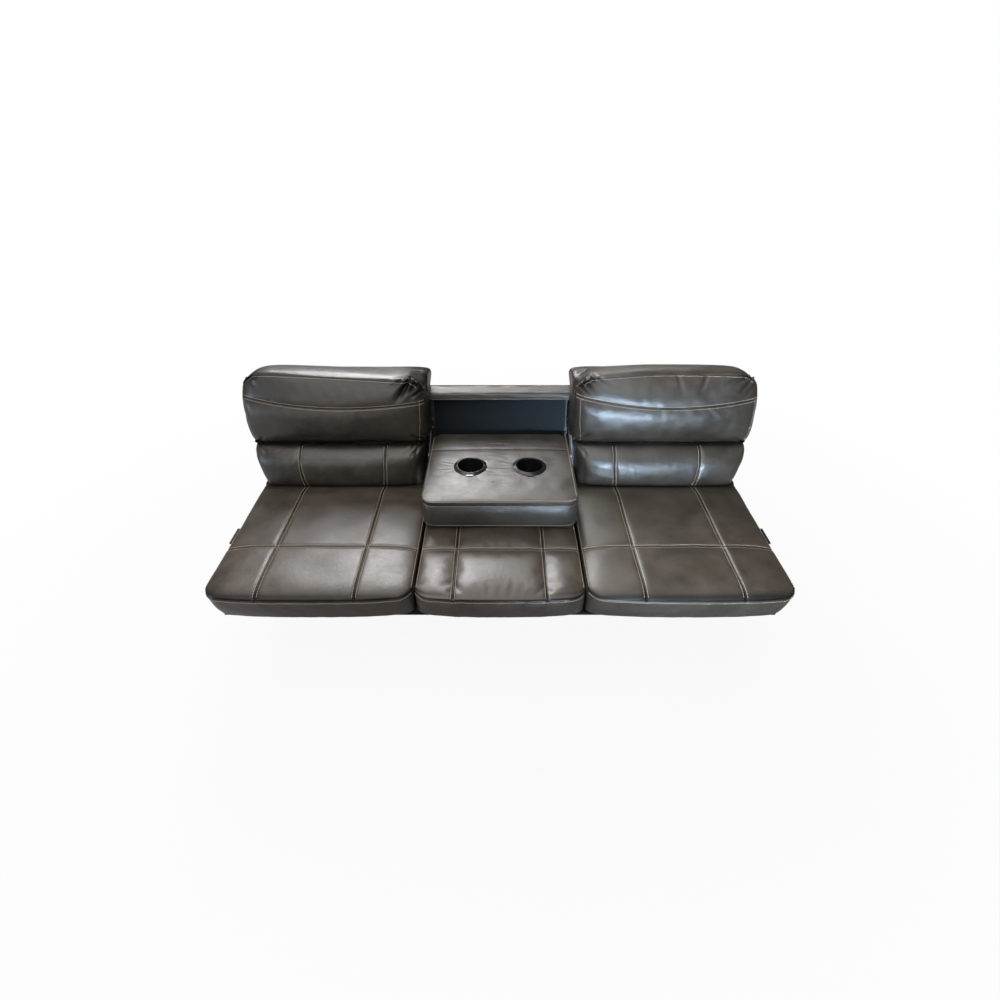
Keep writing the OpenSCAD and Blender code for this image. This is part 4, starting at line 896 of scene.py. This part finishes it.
lines += [((-0.045, 0.012), (0.075, 0.010), 0.006, 0.0026), ((0.045, 0.008), (-0.060, 0.012), 0.005, 0.0022),
          ((0.162, 0.022), (0.250, 0.040), 0.006, 0.0022), ((-0.162, 0.020), (-0.252, 0.052), 0.006, 0.0020),
          ((-0.165, 0.006), (-0.250, -0.004), 0.006, 0.0016), ((0.165, 0.004), (0.250, -0.012), 0.006, 0.0016)]
for _ in range(22):
    y0 = rng.uniform(-0.15, 0.20)
    x0 = rng.uniform(-0.24, 0.1)
    lines.append(((x0, y0), (x0 + rng.uniform(0.06, 0.14), y0 + rng.uniform(-0.012, 0.012)), 0.007, 0.0009))
grow = flat * (folds(x, y, lines) * (z > TOP_Z - 0.006) + 0.0007 * waves(co * (0.5, 1, 1), 402, 0.05))
set_points(cover, co + n * grow[:, None])
mark(cover, 0.8 * bell((y - REAR_CREASE) / 0.002) * flat)
dress(cover, leather_console, "console", 0.9, "console_top_cover")

# Console band: a leather border round the box, eased over foam, with a welt at its lower edge.
BAND_LOW = 0.460
PAD_FRONT, PAD_REAR = -0.1777, 0.2043
band_cuts = [BAND_LOW + 0.003, BAND_LOW + 0.009, LID_TOP - 0.006, LID_TOP - 0.002]
band = block("console_border", con_xs, con_ys, ticks(BAND_LOW, LID_TOP, band_cuts, 0.009))
bpy.ops.object.mode_set(mode="EDIT")
bpy.ops.mesh.select_all(action="DESELECT")
mesh = bmesh.from_edit_mesh(band.data)
for f in mesh.faces:
    if abs(f.normal.z) > 0.9:
        f.select_set(True)
bmesh.update_edit_mesh(band.data)
bpy.context.tool_settings.mesh_select_mode = (False, False, True)
bpy.ops.mesh.delete(type="ONLY_FACE")
bpy.ops.mesh.select_all(action="DESELECT")
bpy.ops.mesh.select_loose(extend=False)
bpy.ops.mesh.delete(type="VERT")
bpy.ops.object.mode_set(mode="OBJECT")
x, y, z = points_of(band).T
y2 = rounded(x, y)
up = (z - BAND_LOW) / (LID_TOP - BAND_LOW)
lift = np.clip((y2 - PAD_REAR) / 0.048, 0, 1) * 0.048
z2 = BAND_LOW + lift + (z - BAND_LOW) * (LID_TOP - BAND_LOW - lift) / (LID_TOP - BAND_LOW)
front = y < CON_FRONT + 0.15 * (CON_REAR - CON_FRONT)
y2 -= 0.005 * np.sin(up * math.pi) ** 0.7 * front
y2 += 0.007 * np.clip((up - 0.55) / 0.45, 0, 1) ** 2 * front
x2 = x + np.sign(x) * 0.0035 * (np.abs(x) > 0.25) * np.clip(1 - up, 0, 1) ** 1.5 * (y2 < 0.16)
set_points(band, np.array([x2, y2, z2]).T)
wall = band.modifiers.new("Wall", "SOLIDIFY")
wall.thickness = 0.0035
wall.offset = -1
bpy.context.view_layer.objects.active = band
bpy.ops.object.modifier_apply(modifier="Wall")
smooth(band)
co, n = points_of(band), normals_of(band)
x, y, z = co.T
outside = (np.abs(x) > 0.2545) | (y < CON_FRONT + 0.003 + console_edge(x))
grow = 0.0009 * waves(co * (1, 1, 0.5), 505, 0.10) + 0.0003 * waves(co, 507, 0.03)
grow *= np.clip((z - BAND_LOW) / 0.02, 0, 1) * np.clip((LID_TOP - z) / 0.01, 0, 1)
set_points(band, co + n * (np.minimum(grow, 0.0016) * outside)[:, None])
low_seam = bell((z - BAND_LOW - 0.009) / 0.0018) * (y < 0.19)
mark(band, 0.8 * low_seam + 0.9 * bell((z - LID_TOP) / 0.002))
dress(band, leather_console, "console", 0.9, "console_band")

# Console face: the soft lower side, which is the middle back cushion when the console is folded.
PAD_HALF = 0.252
PAD_LOW, PAD_TOP = 0.4475, 0.4597
PAD_CREASE = PAD_FRONT + 0.73 * (PAD_REAR - PAD_FRONT)
ends = arc(0.02)
pad_xs = ticks(-PAD_HALF, PAD_HALF,
               [*(e - PAD_HALF for e in ends), *(PAD_HALF - e for e in ends), *seam_cuts(MIDDLE_LINES)], 0.012)
face_pad = block("console_face", pad_xs, ticks(PAD_FRONT, PAD_REAR, seam_cuts([PAD_CREASE]), 0.012),
                 ticks(PAD_LOW, PAD_TOP, [PAD_LOW + 0.0022, PAD_TOP - 0.002], 0.006))
x, y, z = points_of(face_pad).T
a, s = x / PAD_HALF, (y - PAD_FRONT) / (PAD_REAR - PAD_FRONT)
y2 = y + corner(PAD_HALF - np.abs(x), 0.02) * (np.clip(1 - s * 5, 0, 1) - np.clip(1 - (1 - s) * 5, 0, 1))
swell = dome(a) * dome(2 * s - 1)
crease = 0.0042 * hat((y - PAD_CREASE) / 0.011) * dome(a)
z2 = z + np.where(z < PAD_LOW + 1e-4, 0.0035 * (1 - 2 * swell) + crease, 0)
set_points(face_pad, np.array([x, y2, z2]).T)
smooth(face_pad)
co, n = points_of(face_pad), normals_of(face_pad)
near = bell((co[:, 1] - PAD_CREASE) / 0.003) * (n[:, 2] < 0)
grow = 0.0005 * waves(co, 601, 0.09) * np.clip(-n[:, 2], 0, 1)
set_points(face_pad, co + n * np.minimum(grow, 0.0004)[:, None])
mark(face_pad, near)
dress(face_pad, leather_back, "console", 0.9, "console_pad")

# Stitching of the console: a row just inside the edge of the top on three sides, and on the
# border one row under its top edge and one along the welt at its foot.
HEM = 0.0065
along = np.arange(CON_FRONT + 0.035, CON_REAR - 0.02, 0.004)
across = np.arange(-0.250, 0.2501, 0.004)
rows = [([(sign * (CON_HALF - HEM), v, 0.6) for v in along], (0, 0, -1)) for sign in (-1, 1)]
rows.append(([(v, CON_FRONT + console_edge(v) + HEM, 0.6) for v in across], (0, 0, -1)))
sew("stitching_console_top", cover, rows, "console")
across = np.arange(-0.252, 0.2521, 0.004)
hems = (BAND_LOW + 0.0045, LID_TOP - HEM)
rows = [([(v, CON_FRONT, z) for v in across], (0, 1, 0)) for z in hems]
for sign in (-1, 1):
    for z in hems:
        rows.append(([(sign * CON_HALF, v, z) for v in along if z > 0.5 or v < 0.19], (-sign, 0, 0)))
sew("stitching_console_border", band, rows, "console")


# Finishes of the carried-over pieces: painted and bare steel, timber, foam, cloth and plastic.
def plain(name, color, rough, metal, scale, spread, bump, coat=0.0, shine=0.5):
    """A plain material with a little noise in its colour, its roughness and its surface."""
    mat = bpy.data.materials.new(name)
    mat.use_nodes = True
    nodes, links = mat.node_tree.nodes, mat.node_tree.links
    shader = nodes["Principled BSDF"]
    where = nodes.new("ShaderNodeTexCoord")
    n = nodes.new("ShaderNodeTexNoise")
    n.inputs["Scale"].default_value = scale
    n.inputs["Detail"].default_value = 5
    links.new(where.outputs["Object"], n.inputs["Vector"])
    tones = nodes.new("ShaderNodeValToRGB")
    tones.color_ramp.elements[0].position = 0.3
    tones.color_ramp.elements[1].position = 0.7
    tones.color_ramp.elements[0].color = (*(c * (1 - spread) for c in color), 1)
    tones.color_ramp.elements[1].color = (*(min(1, c * (1 + spread)) for c in color), 1)
    links.new(n.outputs["Fac"], tones.inputs["Fac"])
    links.new(tones.outputs["Color"], shader.inputs["Base Color"])
    span = nodes.new("ShaderNodeMapRange")
    span.inputs["To Min"].default_value = rough - 0.06
    span.inputs["To Max"].default_value = rough + 0.08
    links.new(n.outputs["Fac"], span.inputs["Value"])
    links.new(span.outputs[0], shader.inputs["Roughness"])
    shader.inputs["Metallic"].default_value = metal
    shader.inputs["Coat Weight"].default_value = coat
    shader.inputs["Specular IOR Level"].default_value = shine
    relief = nodes.new("ShaderNodeBump")
    relief.inputs["Strength"].default_value = bump
    relief.inputs["Distance"].default_value = 0.0005
    links.new(n.outputs["Fac"], relief.inputs["Height"])
    links.new(relief.outputs["Normal"], shader.inputs["Normal"])
    return mat


finish = {
    "black_steel": plain("black_paint", (0.012, 0.012, 0.013), 0.5, 0.0, 260, 0.25, 0.25, shine=0.25),
    "bare_steel": plain("zinc_steel", (0.24, 0.245, 0.25), 0.46, 1.0, 180, 0.12, 0.15),
    "dull_steel": plain("dull_steel", (0.10, 0.102, 0.105), 0.55, 1.0, 180, 0.12, 0.15),
    "wood": plain("timber", (0.42, 0.29, 0.16), 0.62, 0.0, 35, 0.22, 0.3),
    "foam": plain("foam", (0.72, 0.64, 0.40), 0.9, 0.0, 420, 0.10, 0.6),
    "cloth": plain("lining", (0.0040, 0.0066, 0.0088), 0.62, 0.0, 500, 0.35, 0.6, shine=0.16),
    "plastic": plain("gloss_plastic", (0.006, 0.006, 0.007), 0.24, 0.0, 300, 0.2, 0.05, coat=0.2),
}
for name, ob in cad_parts.items():
    if "console_hanger" in name:
        mat = finish["dull_steel"]
    elif name.endswith(("pins", "bolts")) or "crank_left" in name or "crank_right" in name:
        mat = finish["bare_steel"]
    elif name.startswith(("base_", "seat_plate", "seat_rail", "seat_bearers", "back_arm", "rear_", "front_")):
        mat = finish["black_steel"]
    elif name.startswith(("back_panel", "back_post")) or name in ("back_boards", "back_head_rails"):
        mat = leather_back
    elif "foam" in name:
        mat = finish["foam"]
    elif name in ("back_liner", "seat_dust_cover", "seat_deck", "back_bottom_rail", "console_box", "console_floor",
                  "console_lid"):
        mat = finish["cloth"]
    elif name.startswith("cup_holder"):
        mat = finish["plastic"]
    elif "cover" in name or "lumbar" in name or "pillow" in name or name in ("console_band", "console_pad"):
        mat = leather_back
    else:
        mat = finish["wood"]
    ob.data.materials.clear()
    ob.data.materials.append(mat)
